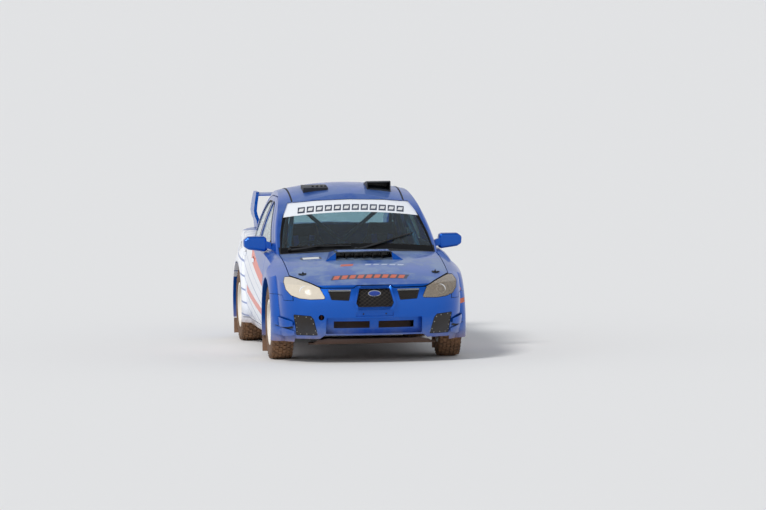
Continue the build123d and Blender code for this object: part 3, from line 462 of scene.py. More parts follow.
def solidDisc(bm, centre, axis, radius, depth, sides=24, edge=0.0, farRadius=None):
    turn = Vector((0, 0, 1)).rotation_difference(Vector(axis)).to_matrix().to_4x4()
    made = bmesh.ops.create_cone(bm, cap_ends=True, segments=sides, radius1=radius,
                                 radius2=radius if farRadius is None else farRadius, depth=depth,
                                 matrix=Matrix.Translation(centre) @ turn)["verts"]
    if edge:
        edges = {e for v in made for e in v.link_edges if any(len(f.verts) > 4 for f in e.link_faces)}
        bmesh.ops.bevel(bm, geom=list(edges), offset=edge, segments=2, profile=0.5, affect="EDGES", material=-1)


def spinProfile(bm, profile, centre, axis, start, steps=48):
    # a closed outline of (radius, distance along the axis) turned once round
    centre, axis, start = Vector(centre), Vector(axis).normalized(), Vector(start).normalized()
    points = [bm.verts.new(centre + start * radius + axis * along) for radius, along in profile]
    edges = [bm.edges.new(pair) for pair in zip(points, points[1:] + points[:1])]
    bmesh.ops.spin(bm, geom=points + edges, cent=centre, axis=axis, dvec=(0, 0, 0), angle=math.tau, steps=steps,
                   use_merge=True, use_duplicate=False)
    bmesh.ops.remove_doubles(bm, verts=bm.verts, dist=1e-6)


trees = {}


def landOn(name, start, towards):
    # where a straight line first meets a CAD node, and that surface's outward normal
    if name not in trees:
        mesh = nodes[name].data
        trees[name] = BVHTree.FromPolygons([v.co.copy() for v in mesh.vertices],
                                           [tuple(face.vertices) for face in mesh.polygons])
    towards = Vector(towards).normalized()
    place, normal = trees[name].ray_cast(Vector(start), towards)[:2]
    if place is None:
        return None, None
    return place, -normal if normal.dot(towards) > 0 else normal


def traceOn(name, starts, towards, lift=0.0):
    # a path over a CAD node where lines from these starts meet it; what misses is left out
    path, normals = [], []
    for start in starts:
        place, normal = landOn(name, start, towards)
        if place is not None:
            path.append(place + normal * lift)
            normals.append(normal)
    return path, normals


def ribbon(bm, path, normals, width, thickness, lift=0.0):
    # a flat strip along a path, its top standing lift above the surface
    steps = len(path) - 1
    made = bmesh.ops.create_grid(bm, x_segments=steps, y_segments=1, size=1)["verts"]
    for v in made:
        i = round((v.co.x + 1) / 2 * steps)
        side = 1 if v.co.y > 0 else -1
        along = (path[min(i + 1, steps)] - path[max(i - 1, 0)]).normalized()
        across = along.cross(normals[i]).normalized()
        half = (width[i] if isinstance(width, list) else width) / 2
        v.co = path[i] + normals[i] * lift - across * side * half
    faces = list({f for v in made for f in v.link_faces})
    bmesh.ops.solidify(bm, geom=faces, thickness=thickness)


def patch(bm, name, outline, towards, lift, thickness, across=6, down=3):
    # a thin sheet laid on a CAD node inside four corners, given as first row then second row
    made = bmesh.ops.create_grid(bm, x_segments=across, y_segments=down, size=1)["verts"]
    a, b, c, d = [Vector(corner) for corner in outline]
    for v in made:
        u, w = (v.co.x + 1) / 2, (v.co.y + 1) / 2
        start = a.lerp(b, u).lerp(c.lerp(d, u), w)
        for pull in range(11):
            # a point past the node's edge is drawn in towards the middle of the patch
            place, normal = landOn(name, start.lerp((a + b + c + d) / 4, pull / 10), towards)
            if place is not None:
                break
        v.co = place + normal * lift
    faces = list({f for v in made for f in v.link_faces})
    if faces[0].normal.dot(Vector(towards)) > 0:
        bmesh.ops.reverse_faces(bm, faces=faces)
    bmesh.ops.solidify(bm, geom=faces, thickness=thickness)


def slanted(start, width, low, high, lean):
    # a leaning bar's four corners
    return [(start, low), (start + width, low), (start + lean, high), (start + width + lean, high)]


def divide(outline, step, offset=0.0):
    # points all round a closed outline, about a step apart
    made = []
    for a, b in zip(outline, outline[1:] + outline[:1]):
        steps = max(1, round((b - a).length / step))
        made += [a.lerp(b, (k + offset) / steps) for k in range(steps)]
    return made


def smoothPath(points, count):
    # evenly divided smooth line through a few points
    made = []
    points = [Vector(p) for p in points]
    for k in range(count + 1):
        t = k / count * (len(points) - 1)
        i = min(int(t), len(points) - 2)
        f = t - i
        p0, p1, p2, p3 = points[max(i - 1, 0)], points[i], points[i + 1], points[min(i + 2, len(points) - 1)]
        made.append(0.5 * (2 * p1 + (p2 - p0) * f + (2 * p0 - 5 * p1 + 4 * p2 - p3) * f * f
                           + (3 * p1 - p0 - 3 * p2 + p3) * f ** 3))
    return made


sides = {"left": 1, "right": -1}
ahead, back, down = (0, 1, 0), (0, -1, 0), (0, 0, -1)    # ways to look: from the nose, from behind, from above
noseSide, tailSide, overhead = -3, 3, 2                  # places outside the car to look from

tyreValues = {
    "blocks": 40, "edge": 0.0012, "steps": 68, "skew": 9, "fill": 0.8,
    # rows of blocks: place across, width, foot and top radius
    "rows": [(-0.0815, 0.024, 0.307, 0.3185), (-0.0505, 0.026, 0.312, 0.3235), (-0.0170, 0.027, 0.312, 0.325),
             (0.0170, 0.027, 0.312, 0.325), (0.0505, 0.026, 0.312, 0.3235), (0.0815, 0.024, 0.307, 0.3185)],
    # half a section, outside then inside, from the bead to the middle: radius, place across
    "outside": [(0.190, 0.084), (0.206, 0.084), (0.222, 0.097), (0.238, 0.0985), (0.240, 0.1005), (0.247, 0.1010),
                (0.249, 0.0992), (0.268, 0.0985), (0.270, 0.0998), (0.276, 0.0990), (0.288, 0.097), (0.303, 0.092),
                (0.312, 0.080), (0.315, 0.045)],
    "inside": [(0.190, 0.064), (0.200, 0.064), (0.250, 0.086), (0.298, 0.080), (0.305, 0.050)],
}
wheels = {
    "front_left": (0.745, frontAxle), "front_right": (-0.745, frontAxle),
    "rear_left": (0.750, rearAxle), "rear_right": (-0.750, rearAxle),
}


def makeTyre(corner, x, y):
    v = tyreValues
    bm = bmesh.new()
    centre = Vector((x, y, wheelHeight))
    outside, inside = [[(radius, -along) for radius, along in v[part]] for part in ("outside", "inside")]
    section = outside + v["outside"][::-1] + v["inside"] + inside[::-1]
    spinProfile(bm, section, centre, (1, 0, 0), (0, 0, -1), v["steps"])
    for row, (offset, width, low, high) in enumerate(v["rows"]):
        length = math.tau * high / v["blocks"] * v["fill"]
        skew = Matrix.Rotation(math.radians(v["skew"] if offset > 0 else -v["skew"]), 4, "Z")
        for k in range(v["blocks"]):
            angle = (k + (row % 2) * 0.5) * math.tau / v["blocks"]
            place = Matrix.Translation(centre) @ Matrix.Rotation(angle, 4, "X")
            place = place @ Matrix.Translation((offset, 0, -(low + high) / 2))
            place = place @ skew @ Matrix.Diagonal((width, length, high - low, 1))
            made = bmesh.ops.create_cube(bm, size=1, matrix=place)["verts"]
            edges = list({e for vert in made for e in vert.link_edges})
            bmesh.ops.bevel(bm, geom=edges, offset=v["edge"], segments=1, profile=0.5, affect="EDGES", material=-1)
    piece = addPiece("treaded_tyre_" + corner, bm, rubber, "wheel_" + corner, 35)
    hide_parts("tyre_" + corner)


nutValues = {
    "count": 5, "circle": 0.043, "radius": 0.0095, "depth": 0.018, "hubFace": 0.038, "sunk": 0.001,
    "cap": 0.0258, "capDepth": 0.016, "capAt": 0.030,
}


def makeWheelNuts(corner, x, y):
    v = nutValues
    side = 1 if x > 0 else -1
    bm = bmesh.new()
    for k in range(v["count"]):
        angle = k * math.tau / v["count"]
        centre = (x + side * (v["hubFace"] + v["depth"] / 2 - v["sunk"]), y + v["circle"] * math.sin(angle),
                  wheelHeight + v["circle"] * math.cos(angle))
        solidDisc(bm, centre, (side, 0, 0), v["radius"], v["depth"], 6, 0.001, v["radius"] * 0.9)
    solidDisc(bm, (x + side * v["capAt"], y, wheelHeight), (side, 0, 0), v["cap"], v["capDepth"], 24, 0.003)
    addPiece("wheel_nuts_" + corner, bm, zinc, "wheel_" + corner)


for corner, (x, y) in wheels.items():
    makeTyre(corner, x, y)
    makeWheelNuts(corner, x, y)
print("wheels made")

grilleValues = {
    "centre": [(-0.146, 0.498), (-0.169, 0.540), (-0.133, 0.674), (0.133, 0.674), (0.169, 0.540), (0.146, 0.498)],
    "side": [(0.225, 0.558), (0.203, 0.650), (0.408, 0.654), (0.378, 0.566)],
    "centrePitch": 0.023, "sidePitch": 0.015, "wire": {0.023: 0.0038, 0.015: 0.0022},
    "lift": 0.006, "inset": 0.006, "stretch": 1.35, "reach": 1.1,
    "strip": {"from": 0.205, "to": 0.401, "height": 0.6495, "width": 0.009, "thick": 0.006, "proud": 0.008},
    "frame": {"size": 1.045, "step": 0.02, "width": 0.017, "thick": 0.010, "proud": 0.007},
    "badge": {"height": 0.619, "depth": 0.014, "ring": (trimBright, 0.057, 0.027, 0.016),
              "face": (badgeBlue, 0.051, 0.022, 0.019)},    # half width, half height, how far it stands out
}


def makeMesh(name, outline, pitch):
    # expanded steel mesh laid just ahead of the sheet behind it, which is black as painted shade
    v = grilleValues
    bm = bmesh.new()
    count = int(v["reach"] / pitch / 2)
    bmesh.ops.create_grid(bm, x_segments=count, y_segments=count, size=pitch * count / 2)
    bmesh.ops.rotate(bm, verts=bm.verts, matrix=Matrix.Rotation(math.radians(45), 3, "Z"))
    bmesh.ops.scale(bm, verts=bm.verts, vec=(v["stretch"], 1, 1))
    outline = [Vector((x, z, 0)) for x, z in outline]
    middle = sum(outline, Vector()) / len(outline)
    bmesh.ops.translate(bm, verts=bm.verts, vec=middle)
    for a, b in zip(outline, outline[1:] + outline[:1]):
        out = (b - a).normalized().cross(Vector((0, 0, 1)))
        if out.dot(a - middle) < 0:
            out = -out
        geometry = bm.verts[:] + bm.edges[:] + bm.faces[:]
        bmesh.ops.bisect_plane(bm, geom=geometry, dist=1e-6, plane_co=a - out * v["inset"], plane_no=out,
                               clear_outer=True)
    bmesh.ops.wireframe(bm, faces=bm.faces, thickness=v["wire"][pitch], use_boundary=True, use_even_offset=True,
                        use_replace=True)
    for vert in bm.verts:
        x, z, thick = vert.co
        place = landOn("front_grilles", (x, noseSide, z), ahead)[0]
        if place is None:
            place = landOn("front_grilles", (x * 0.985, noseSide, middle.y), ahead)[0]
        vert.co = Vector((x, place.y - v["lift"] + thick, z))
    addPiece(name, bm, meshBlack, "car")


makeMesh("centre_grille_mesh", grilleValues["centre"], grilleValues["centrePitch"])
makeMesh("side_grille_mesh_left", grilleValues["side"], grilleValues["sidePitch"])
makeMesh("side_grille_mesh_right", [(-x, z) for x, z in reversed(grilleValues["side"])], grilleValues["sidePitch"])


def makeGrilleTrim():
    # slim bright strips along the top of each side grille
    v = grilleValues["strip"]
    for name, side in sides.items():
        path = []
        for k in range(13):
            x = v["from"] + (v["to"] - v["from"]) * k / 12
            place = landOn("front_grilles", (side * min(max(x, 0.214), 0.39), noseSide, 0.640), ahead)[0]
            path.append(Vector((side * x, place.y - v["proud"], v["height"])))
        bm = bmesh.new()
        ribbon(bm, path, [Vector(back)] * 13, v["width"], v["thick"])
        addPiece("grille_strip_" + name, bm, trimBright, "car")


makeGrilleTrim()


def makeGrilleFrame():
    # raised painted frame round the centre grille, closed round its six corners
    v = grilleValues["frame"]
    outline = [Vector(point) for point in grilleValues["centre"]]
    middle = sum(outline, Vector((0, 0))) / len(outline)
    path = []
    for spot in divide(outline, v["step"]):
        spot = middle + (spot - middle) * v["size"]
        hit = landOn("front_bumper", (spot.x, noseSide, spot.y), ahead)[0]
        if hit is None or hit.y > -1.9:
            hit = landOn("front_grilles", (spot.x * 0.93, noseSide, middle.y), ahead)[0]
        path.append(Vector((spot.x, hit.y, spot.y)))
    bm = bmesh.new()
    ribbon(bm, path + path[:1], [Vector(back)] * (len(path) + 1), v["width"], v["thick"], v["proud"])
    addPiece("grille_frame", bm, paintBlue, "car")


makeGrilleFrame()


def makeGrilleBadge(part):
    # a blank oval badge in a bright ring
    v = grilleValues["badge"]
    finish, wide, tall, proud = v[part]
    hit = landOn("front_grilles", (0.0, noseSide, v["height"]), ahead)[0]
    bm = bmesh.new()
    solidDisc(bm, (0, 0, 0), back, 1.0, v["depth"], 40)
    edges = [e for e in bm.edges if any(len(f.verts) > 4 for f in e.link_faces)]
    bmesh.ops.scale(bm, verts=bm.verts, vec=(wide, 1, tall))
    bmesh.ops.bevel(bm, geom=edges, offset=0.002, segments=2, profile=0.5, affect="EDGES", material=-1)
    bmesh.ops.translate(bm, verts=bm.verts, vec=(0, hit.y - proud + v["depth"] / 2, v["height"]))
    addPiece("grille_badge_" + part, bm, finish, "car")


makeGrilleBadge("ring")
makeGrilleBadge("face")

# where the projector shows in the lens, its ring's radius, and the ring's section as (share of radius, depth)
lampValues = {
    "x": 0.607, "z": 0.646, "ring": 0.045, "tilt": 2, "dome": 0.73, "domeDepth": 0.036,
    "section": [(1.0, 0.026), (1.0, 0.011), (0.9, 0.0065), (0.8, 0.011), (0.76, 0.026)],
}


def makeLampInsides(name, side):
    # projector and its ring in each bowl, leaning with the lens
    v = lampValues
    centre, normal = landOn("headlamp_lenses", (side * v["x"], noseSide, v["z"]), ahead)
    inward = (Vector(ahead) - normal * v["tilt"]).normalized()
    section = [(v["ring"] * share, depth) for share, depth in v["section"]]
    bm = bmesh.new()
    spinProfile(bm, section, centre, inward, inward.cross(Vector((1, 0, 0))), 40)
    addPiece("lamp_rings_" + name, bm, ringWhite, "car")
    bm = bmesh.new()
    bmesh.ops.create_uvsphere(bm, u_segments=32, v_segments=16, radius=v["ring"] * v["dome"],
                              matrix=Matrix.Translation(centre + inward * v["domeDepth"]))
    addPiece("lamp_dome_" + name, bm, projector, "car")


makeLampInsides("left", 1)
makeLampInsides("right", -1)

pinValues = {
    "x": 0.585, "y": -1.80, "plate": (0.030, 0.004), "post": (0.006, 0.024),    # radius, depth
    "wire": (0.062, 0.004, 0.004), "latch": (0.022, 0.020, 0.008), "latchAt": (0.030, 0.004),
}


def makeBonnetPins():
    # a plate, a post, and a wire clip with its latch at each front corner
    v = pinValues
    bm = bmesh.new()
    for side in (-1, 1):
        place, normal = landOn("bonnet", (side * v["x"], v["y"], overhead), down)
        turn = Vector((0, 0, 1)).rotation_difference(normal).to_matrix().to_4x4()
        latch = place + normal * 0.006 + Vector((side * v["latchAt"][0], v["latchAt"][1], 0))
        solidDisc(bm, place + normal * 0.002, normal, *v["plate"], 32, 0.0015)
        solidDisc(bm, place + normal * 0.012, normal, *v["post"], 16, 0.002)
        solidBox(bm, place + normal * 0.010, v["wire"], turn, 0.0015)
        solidBox(bm, latch, v["latch"], turn, 0.003)
    addPiece("bonnet_pins", bm, plasticBlack, "bonnet")


makeBonnetPins()

bonnetPatches = {
    # piece: finish, slot, thickness, and each sheet with its lift, points across and down, and outline
    "bonnet_patch_white": (filmWhite, "white_paint", 0.0006, [
        (0.0008, 6, 4, [(-0.528, -1.30), (-0.385, -1.32), (-0.528, -1.22), (-0.385, -1.24)])]),
    "bonnet_patch_dark": (filmDark, "blue_paint", 0.0003, [
        (0.0004, 6, 4, [(-0.552, -1.315), (-0.362, -1.335), (-0.548, -1.205), (-0.368, -1.225)])]),
    "bonnet_dashes": (filmOrange, "blue_paint", 0.0006, [
        (0.0008, 6, 4, slanted(-0.240, 0.110, -1.66, -1.60, 0.015)),
        *[(0.0010, 3, 4, slanted(-0.345 + k * 0.072, 0.050, -2.005, -1.925, 0.026)) for k in range(9)]]),
    "bonnet_band": (filmDark, "blue_paint", 0.0005, [
        (0.0006, 24, 5, [(-0.365, -2.016), (0.305, -2.016), (-0.335, -1.914), (0.345, -1.914)])]),
    "bonnet_bars_pale": (filmPale, "white_paint", 0.0006, [
        (0.0008, 3, 2, slanted(-0.02 + k * 0.072, 0.050, -1.645, -1.612, 0.014)) for k in range(5)]),
}


def makeBonnetPatches():
    # plain vinyl bars and labels
    for name, (finish, slot, thickness, sheets) in bonnetPatches.items():
        bm = bmesh.new()
        for lift, across, rows, outline in sheets:
            patch(bm, "bonnet", [(x, y, overhead) for x, y in outline], down, lift, thickness, across, rows)
        addPiece(name, bm, finish, "bonnet")


makeBonnetPatches()

wiperValues = {
    # across and up, on the screen seen from ahead
    "left": {"arm": [(-0.02, 0.925), (0.20, 0.975), (0.34, 1.012)], "blade": [(0.06, 0.948), (0.52, 1.055)]},
    "right": {"arm": [(-0.60, 0.925), (-0.42, 0.948), (-0.32, 0.962)], "blade": [(-0.60, 0.958), (-0.06, 0.964)]},
    "glassFoot": 0.946, "armLift": 0.018, "armWidth": (0.020, 0.010), "pivot": (0.016, 0.020),
    # strips of the blade: lift, width, thickness
    "carrier": (0.010, 0.009, 0.004), "rubber": (0.0065, 0.003, 0.006), "claw": (0.013, 0.014, 0.004),
    "claws": (3, 8, 13), "steps": 16,
}


def makeWiper(name):
    # a tapering arm from its pivot on the cowl, and a blade with three claws
    v = wiperValues
    foot, (wide, narrow) = v["glassFoot"], v["armWidth"]
    arm = smoothPath([(x, z, 0) for x, z in v[name]["arm"]], 10)
    path, normals = traceOn("windscreen", [(p.x, noseSide, max(p.y, foot)) for p in arm], ahead, v["armLift"])
    path = [p if a.y > foot else p + Vector((0, -0.02, a.y - foot)) for p, a in zip(path, arm)]
    bm = bmesh.new()
    ribbon(bm, path, normals, [wide + (narrow - wide) * k / 10 for k in range(11)], 0.006)
    solidDisc(bm, path[0], normals[0], *v["pivot"], 20, 0.003)
    start, end = [Vector((x, noseSide, z)) for x, z in v[name]["blade"]]
    blade = [start.lerp(end, k / v["steps"]) for k in range(v["steps"] + 1)]
    strips = [("carrier", blade), ("rubber", blade)] + [("claw", blade[k - 1:k + 2]) for k in v["claws"]]
    for part, starts in strips:
        lift, width, thickness = v[part]
        ribbon(bm, *traceOn("windscreen", starts, ahead, lift), width, thickness)
    addPiece("wiper_" + name, bm, plasticBlack, "car")


makeWiper("left")
makeWiper("right")

screwValues = {
    "outline": [(0.492, 0.252), (0.530, 0.395), (0.556, 0.427), (0.702, 0.438), (0.686, 0.343), (0.674, 0.252)],
    "middle": (0.61, 0.345), "inset": 0.014, "step": 0.06, "head": (0.0052, 0.004),
    "clips": (-0.10, 0.10), "clipHeight": 0.440, "clip": (0.007, 0.004),
    "vent": (-0.29, -0.175, -0.25, -0.21), "ventAt": 0.06, "ventHead": (0.011, 0.008),
}


def makeScrews():
    # screws round the two lamp covers, the plate's two clips, and four heads on the closed roof vent
    v = screwValues
    outline, middle = [Vector(point) for point in v["outline"]], Vector(v["middle"])
    bm = bmesh.new()
    for side in (-1, 1):
        for point in divide(outline, v["step"], 0.5):
            point += (middle - point).normalized() * v["inset"]
            place, normal = landOn("lamp_covers", (side * point.x, noseSide, point.y), ahead)
            if place:
                solidDisc(bm, place + normal * 0.001, normal, *v["head"], 12, 0.001)
    addPiece("bumper_screws", bm, zinc, "car")
    bm = bmesh.new()
    for x in v["clips"]:
        place, normal = landOn("front_bumper", (x, noseSide, v["clipHeight"]), ahead)
        solidDisc(bm, place + normal * 0.001, normal, *v["clip"], 12, 0.001)
    addPiece("plate_clips", bm, plasticBlack, "car")
    bm = bmesh.new()
    for x in v["vent"]:
        place, normal = landOn("roof_vents", (x, v["ventAt"], overhead), down)
        solidDisc(bm, place + normal * 0.003, normal, *v["ventHead"], 16, 0.002)
    addPiece("vent_screws", bm, plasticBlack, "car")


makeScrews()

cornerValues = {
    # height at the front end, height at the rear end, width, stand-off
    "fins": [(0.368, 0.392, 0.050, 0.020), (0.282, 0.302, 0.052, 0.013)],
    "finTurn": (35.5, 59.5), "finEnd": 0.006, "root": 0.012,    # degrees round from straight ahead
    # the black strip of painted shade between the fins: degrees round, heights at its ends, widths, thickness
    "shadeTurn": (41, 55), "slot": (0.322, 0.340), "shadeWidth": (0.012, 0.022), "shadeThick": 0.004,
    "middle": -1.2, "outside": 2.5,
    "towRing": {"centre": (-0.466, -2.118, 0.410), "axis": (1, 0.25, 0), "radius": 0.020, "wire": 0.0042},
}


def cornerPath(side, turn, heights, steps, lift=0.0, swell=0.0):
    # round one corner of the bumper, standing off it by lift and by swell more in the middle
    path, normals = [], []
    for k in range(steps + 1):
        angle = math.radians(turn[0] + (turn[1] - turn[0]) * k / steps) * side
        out = Vector((math.sin(angle), -math.cos(angle), 0))
        height = heights[0] + (heights[1] - heights[0]) * k / steps
        start = Vector((0, cornerValues["middle"], height)) + out * cornerValues["outside"]
        place, normal = landOn("front_bumper", start, -out)
        if place is not None:
            path.append(place + normal * (lift + swell * math.sin(math.pi * k / steps)))
            normals.append(normal)
    return path, normals


def makeCorner(name, side):
    # two fins, and a black strip of painted shade between them
    v = cornerValues
    bm = bmesh.new()
    for start, end, width, proud in v["fins"]:
        path, normals = cornerPath(side, v["finTurn"], (start, end), 26, 0.0, proud)
        last = len(path) - 1
        widths = [v["finEnd"] + (width - v["finEnd"]) * math.sin(math.pi * k / last) ** 0.8 for k in range(last + 1)]
        ribbon(bm, path, normals, widths, proud + v["root"])
    addPiece("corner_fins_" + name, bm, paintBlue, "car")
    bm = bmesh.new()
    # the shade between the fins, painted as a black strip
    path, normals = cornerPath(side, v["shadeTurn"], v["slot"], 10, 0.002)
    last = len(path) - 1
    widths = [v["shadeWidth"][0] + v["shadeWidth"][1] * math.sin(math.pi * k / last) for k in range(last + 1)]
    ribbon(bm, path, normals, widths, v["shadeThick"])
    addPiece("corner_shade_strip_" + name, bm, plasticBlack, "car")


def makeTowRing():
    # a painted wire ring low in the bumper on the car's right
    v = cornerValues["towRing"]
    turns = [k * math.tau / 10 for k in range(10)]
    section = [(v["radius"] + v["wire"] * math.cos(a), v["wire"] * math.sin(a)) for a in turns]
    bm = bmesh.new()
    spinProfile(bm, section, v["centre"], v["axis"], (0, 0, 1), 28)
    addPiece("tow_ring", bm, ringRed, "car")


makeCorner("left", 1)
makeCorner("right", -1)
makeTowRing()

trimValues = {
    # one half of the screen's edge from the middle of its top to its foot: across, up
    "screen": [(0.0, 1.347), (0.300, 1.339), (0.543, 1.318), (0.616, 1.200), (0.664, 1.060), (0.694, 0.902)],
    "screenSteps": 80, "screenSeal": (0.016, 0.006, 0.005),    # width, thickness, lift
    "ditch": {"x": 0.496, "out": 0.006, "front": -0.20, "rear": 0.92, "strip": (0.014, 0.006, 0.0015)},
    "mirror": {"x": 0.874, "y": -0.4562, "z": 0.982, "size": (0.160, 0.006, 0.092)},
}


def makeScreenSeal():
    # rubber along the top and both sides of the screen
    v = trimValues
    half = v["screen"]
    outline = smoothPath([(-x, z, 0) for x, z in half[:0:-1]] + [(x, z, 0) for x, z in half], v["screenSteps"])
    starts = [(p.x * 0.995, noseSide, p.y - 0.001) for p in outline]
    bm = bmesh.new()
    ribbon(bm, *traceOn("windscreen", starts, ahead), *v["screenSeal"])
    addPiece("windscreen_seal", bm, rubberBlack, "car")


def makeRoofDitches():
    # rubber strips in the two roof gutters
    v = trimValues["ditch"]
    bm = bmesh.new()
    for side in (-1, 1):
        starts = [(side * v["x"], v["front"] + (v["rear"] - v["front"]) * k / 40, overhead) for k in range(41)]
        path, normals = traceOn("roof_panel", starts, down)
        ribbon(bm, [p + Vector((side * v["out"], 0, 0)) for p in path], normals, *v["strip"])
    addPiece("roof_ditch_strips", bm, rubberBlack, "car")


def makeMirrorGlass():
    # silvered panes on the rear faces of the two mirrors
    v = trimValues["mirror"]
    for name, side in sides.items():
        bm = bmesh.new()
        solidBox(bm, (side * v["x"], v["y"], v["z"]), v["size"], None, 0.0028)
        addPiece("mirror_glass_" + name, bm, mirrorSilver, "door_front_" + name)


makeScreenSeal()
makeRoofDitches()
makeMirrorGlass()

archLiner = {
    "radius": 0.391, "flare": 0.398, "centre": wheelHeight + 0.012, "low": 0.27, "steps": 72,
    "skin": 0.002, "gap": 0.0015,
    # each arch: axle, the wheel housing's edge, the panels outside it
    "front": (frontAxle, 0.750, ["front_wings", "front_bumper"]),
    "rear": (rearAxle, 0.726, ["body_sides", "rear_bumper"]),
}


def makeArchLiner(end, name, side):
    # a moulded strip closes the arch between the wheel housing's edge and the panel outside it
    v = archLiner
    axle, inner, panels = v[end]
    centre = Vector((side * inner, axle, v["centre"]))
    sweep = math.pi / 2 + math.asin((v["centre"] - v["low"]) / v["radius"])
    missed = []
    bm = bmesh.new()
    for vertex in bmesh.ops.create_grid(bm, x_segments=v["steps"], y_segments=1, size=1)["verts"]:
        angle = vertex.co.x * sweep
        outward = Vector((0, math.sin(angle), math.cos(angle)))
        hits = [landOn(panel, centre + outward * v["flare"], (side, 0, 0))[0] for panel in panels]
        reach = [abs(hit.x) for hit in hits if hit is not None]
        if not reach:
            missed.append(vertex)
        elif vertex.co.y > 0:
            vertex.co = centre + outward * v["flare"]
            vertex.co.x = side * (min(reach) - v["gap"])
        else:
            vertex.co = centre + outward * v["radius"]
    bmesh.ops.delete(bm, geom=missed, context="VERTS")
    bmesh.ops.recalc_face_normals(bm, faces=bm.faces)
    bmesh.ops.solidify(bm, geom=bm.faces, thickness=v["skin"])
    addPiece(f"arch_liner_{end}_{name}", bm, plasticGrey, "car", 40)


for name, side in sides.items():
    makeArchLiner("front", name, side)
    makeArchLiner("rear", name, side)
print("nose and body trim made")

handleValues = {
    "front": (0.115, 0.800), "rear": (0.905, 0.815),    # along the car, up
    "length": 0.17, "foot": 0.005, "bow": 0.016, "width": (0.022, 0.006), "thick": 0.012, "cup": (0.030, 0.0042),
}


def makeDoorHandle(place, name, side):
    # a bowed pull over a shallow dark cup
    v = handleValues
    y, z = v[place]
    node = f"door_{place}_{name}"
    bulge = [math.sin(math.pi * k / 10) for k in range(11)]
    starts = [(side * 2, y + v["length"] * (k / 10 - 0.5), z) for k in range(11)]
    path, normals = traceOn(node, starts, (-side, 0, 0))
    path = [p + normal * (v["foot"] + v["bow"] * rise ** 0.5) for p, normal, rise in zip(path, normals, bulge)]
    bm = bmesh.new()
    ribbon(bm, path, normals, [v["width"][0] + v["width"][1] * rise for rise in bulge], v["thick"])
    addPiece(f"door_handle_{place}_{name}", bm, paintWhite, node)
    bm = bmesh.new()
    spot, normal = landOn(node, (side * 2, y, z), (-side, 0, 0))
    solidDisc(bm, spot - normal * 0.001, normal, *v["cup"], 28, 0.001)
    addPiece(f"handle_cup_{place}_{name}", bm, plasticBlack, node)


for name, side in sides.items():
    makeDoorHandle("front", name, side)
    makeDoorHandle("rear", name, side)

seatValues = {
    "centres": {"left": 0.355, "right": -0.355},
    # from the front lip to the head: place along the car, height, half width, height of the sides
    "path": [(-0.256, 0.412, 0.196, 0.018), (-0.225, 0.400, 0.205, 0.050), (-0.14, 0.388, 0.210, 0.078),
             (-0.05, 0.380, 0.210, 0.085), (0.05, 0.378, 0.210, 0.088), (0.135, 0.398, 0.210, 0.088),
             (0.182, 0.462, 0.210, 0.082), (0.212, 0.58, 0.208, 0.075), (0.240, 0.70, 0.208, 0.085),
             (0.268, 0.81, 0.206, 0.100), (0.292, 0.905, 0.180, 0.100), (0.312, 0.985, 0.137, 0.085),
             (0.326, 1.05, 0.128, 0.078), (0.336, 1.098, 0.108, 0.040)],
    "wall": 0.010, "rows": 65, "flat": 0.6, "dish": 0.012,
    "rail": {"x": 0.196, "centre": (-0.02, 0.352), "size": (0.006, 0.34, 0.104)},
    "bolt": {"x": 0.201, "z": 0.372, "along": (-0.15, 0.10), "head": (0.009, 0.008)},
    # pads: first and last row, thickness; and the rows where a channel is sewn in
    "pads": {"base": (3, 24, 0.052), "back": (29, 51, 0.036), "head": (54.5, 62, 0.026)},
    "channels": {"base": (9.0, 15.0), "back": (34, 39, 44), "head": ()},
    "channelHalf": 1.6, "channelDepth": 0.006, "padWidth": 0.76, "cuts": 13,
    "voxel": 0.006, "pressure": 4.0, "frames": 20, "cap": 0.008, "fill": 0.7,
}
seatRows = smoothPath(seatValues["path"], seatValues["rows"])


def seatPoint(centre, t, across, height):
    # a place over the seat's surface at row t, with that row's half width and side height
    last = len(seatRows) - 1
    i = min(int(t), last - 1)
    row = seatRows[i].lerp(seatRows[i + 1], t - i)
    along = seatRows[min(i + 2, last)] - seatRows[max(i - 1, 0)]
    dy, dz = along[0], along[1]
    size = math.hypot(dy, dz)
    return Vector((centre + across, row[0] - dz / size * height, row[1] + dy / size * height)), row[2], row[3]


def makeSeatShells():
    # glass-fibre buckets on side plates
    bm = bmesh.new()
    v = seatValues
    rail, bolt, flat = v["rail"], v["bolt"], v["flat"]
    for centre in v["centres"].values():
        made = bmesh.ops.create_grid(bm, x_segments=20, y_segments=v["rows"], size=1)["verts"]
        for vert in made:
            u, t = vert.co.x, (vert.co.y + 1) / 2 * v["rows"]
            half, side = seatPoint(centre, t, 0, 0)[1:]
            turn = max(abs(u) - flat, 0) / (1 - flat) * math.pi / 2
            level = min(abs(u) / flat, 1.0)
            across = half * (0.8 * level + 0.2 * math.sin(turn))
            rise = v["dish"] * level * level + (side - v["dish"]) * (1 - math.cos(turn))
            vert.co = seatPoint(centre, t, math.copysign(across, u), rise)[0]
        faces = list({f for vert in made for f in vert.link_faces})
        bmesh.ops.solidify(bm, geom=faces, thickness=v["wall"])
        for side in (-1, 1):
            solidBox(bm, (centre + side * rail["x"], *rail["centre"]), rail["size"], None, 0.002)
            for y in bolt["along"]:
                solidDisc(bm, (centre + side * bolt["x"], y, bolt["z"]), (side, 0, 0), *bolt["head"], 6, 0.001)
    rims = [e for e in bm.edges if len(e.link_faces) == 2 and e.calc_face_angle() > math.radians(60)
            and e.link_faces[0].calc_area() > 1e-6]
    bmesh.ops.bevel(bm, geom=rims, offset=0.003, segments=2, profile=0.5, affect="EDGES", material=-1,
                    clamp_overlap=True)
    piece = addPiece("seat_shells", bm, shellBlack, "car", 40)
    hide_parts("seats")


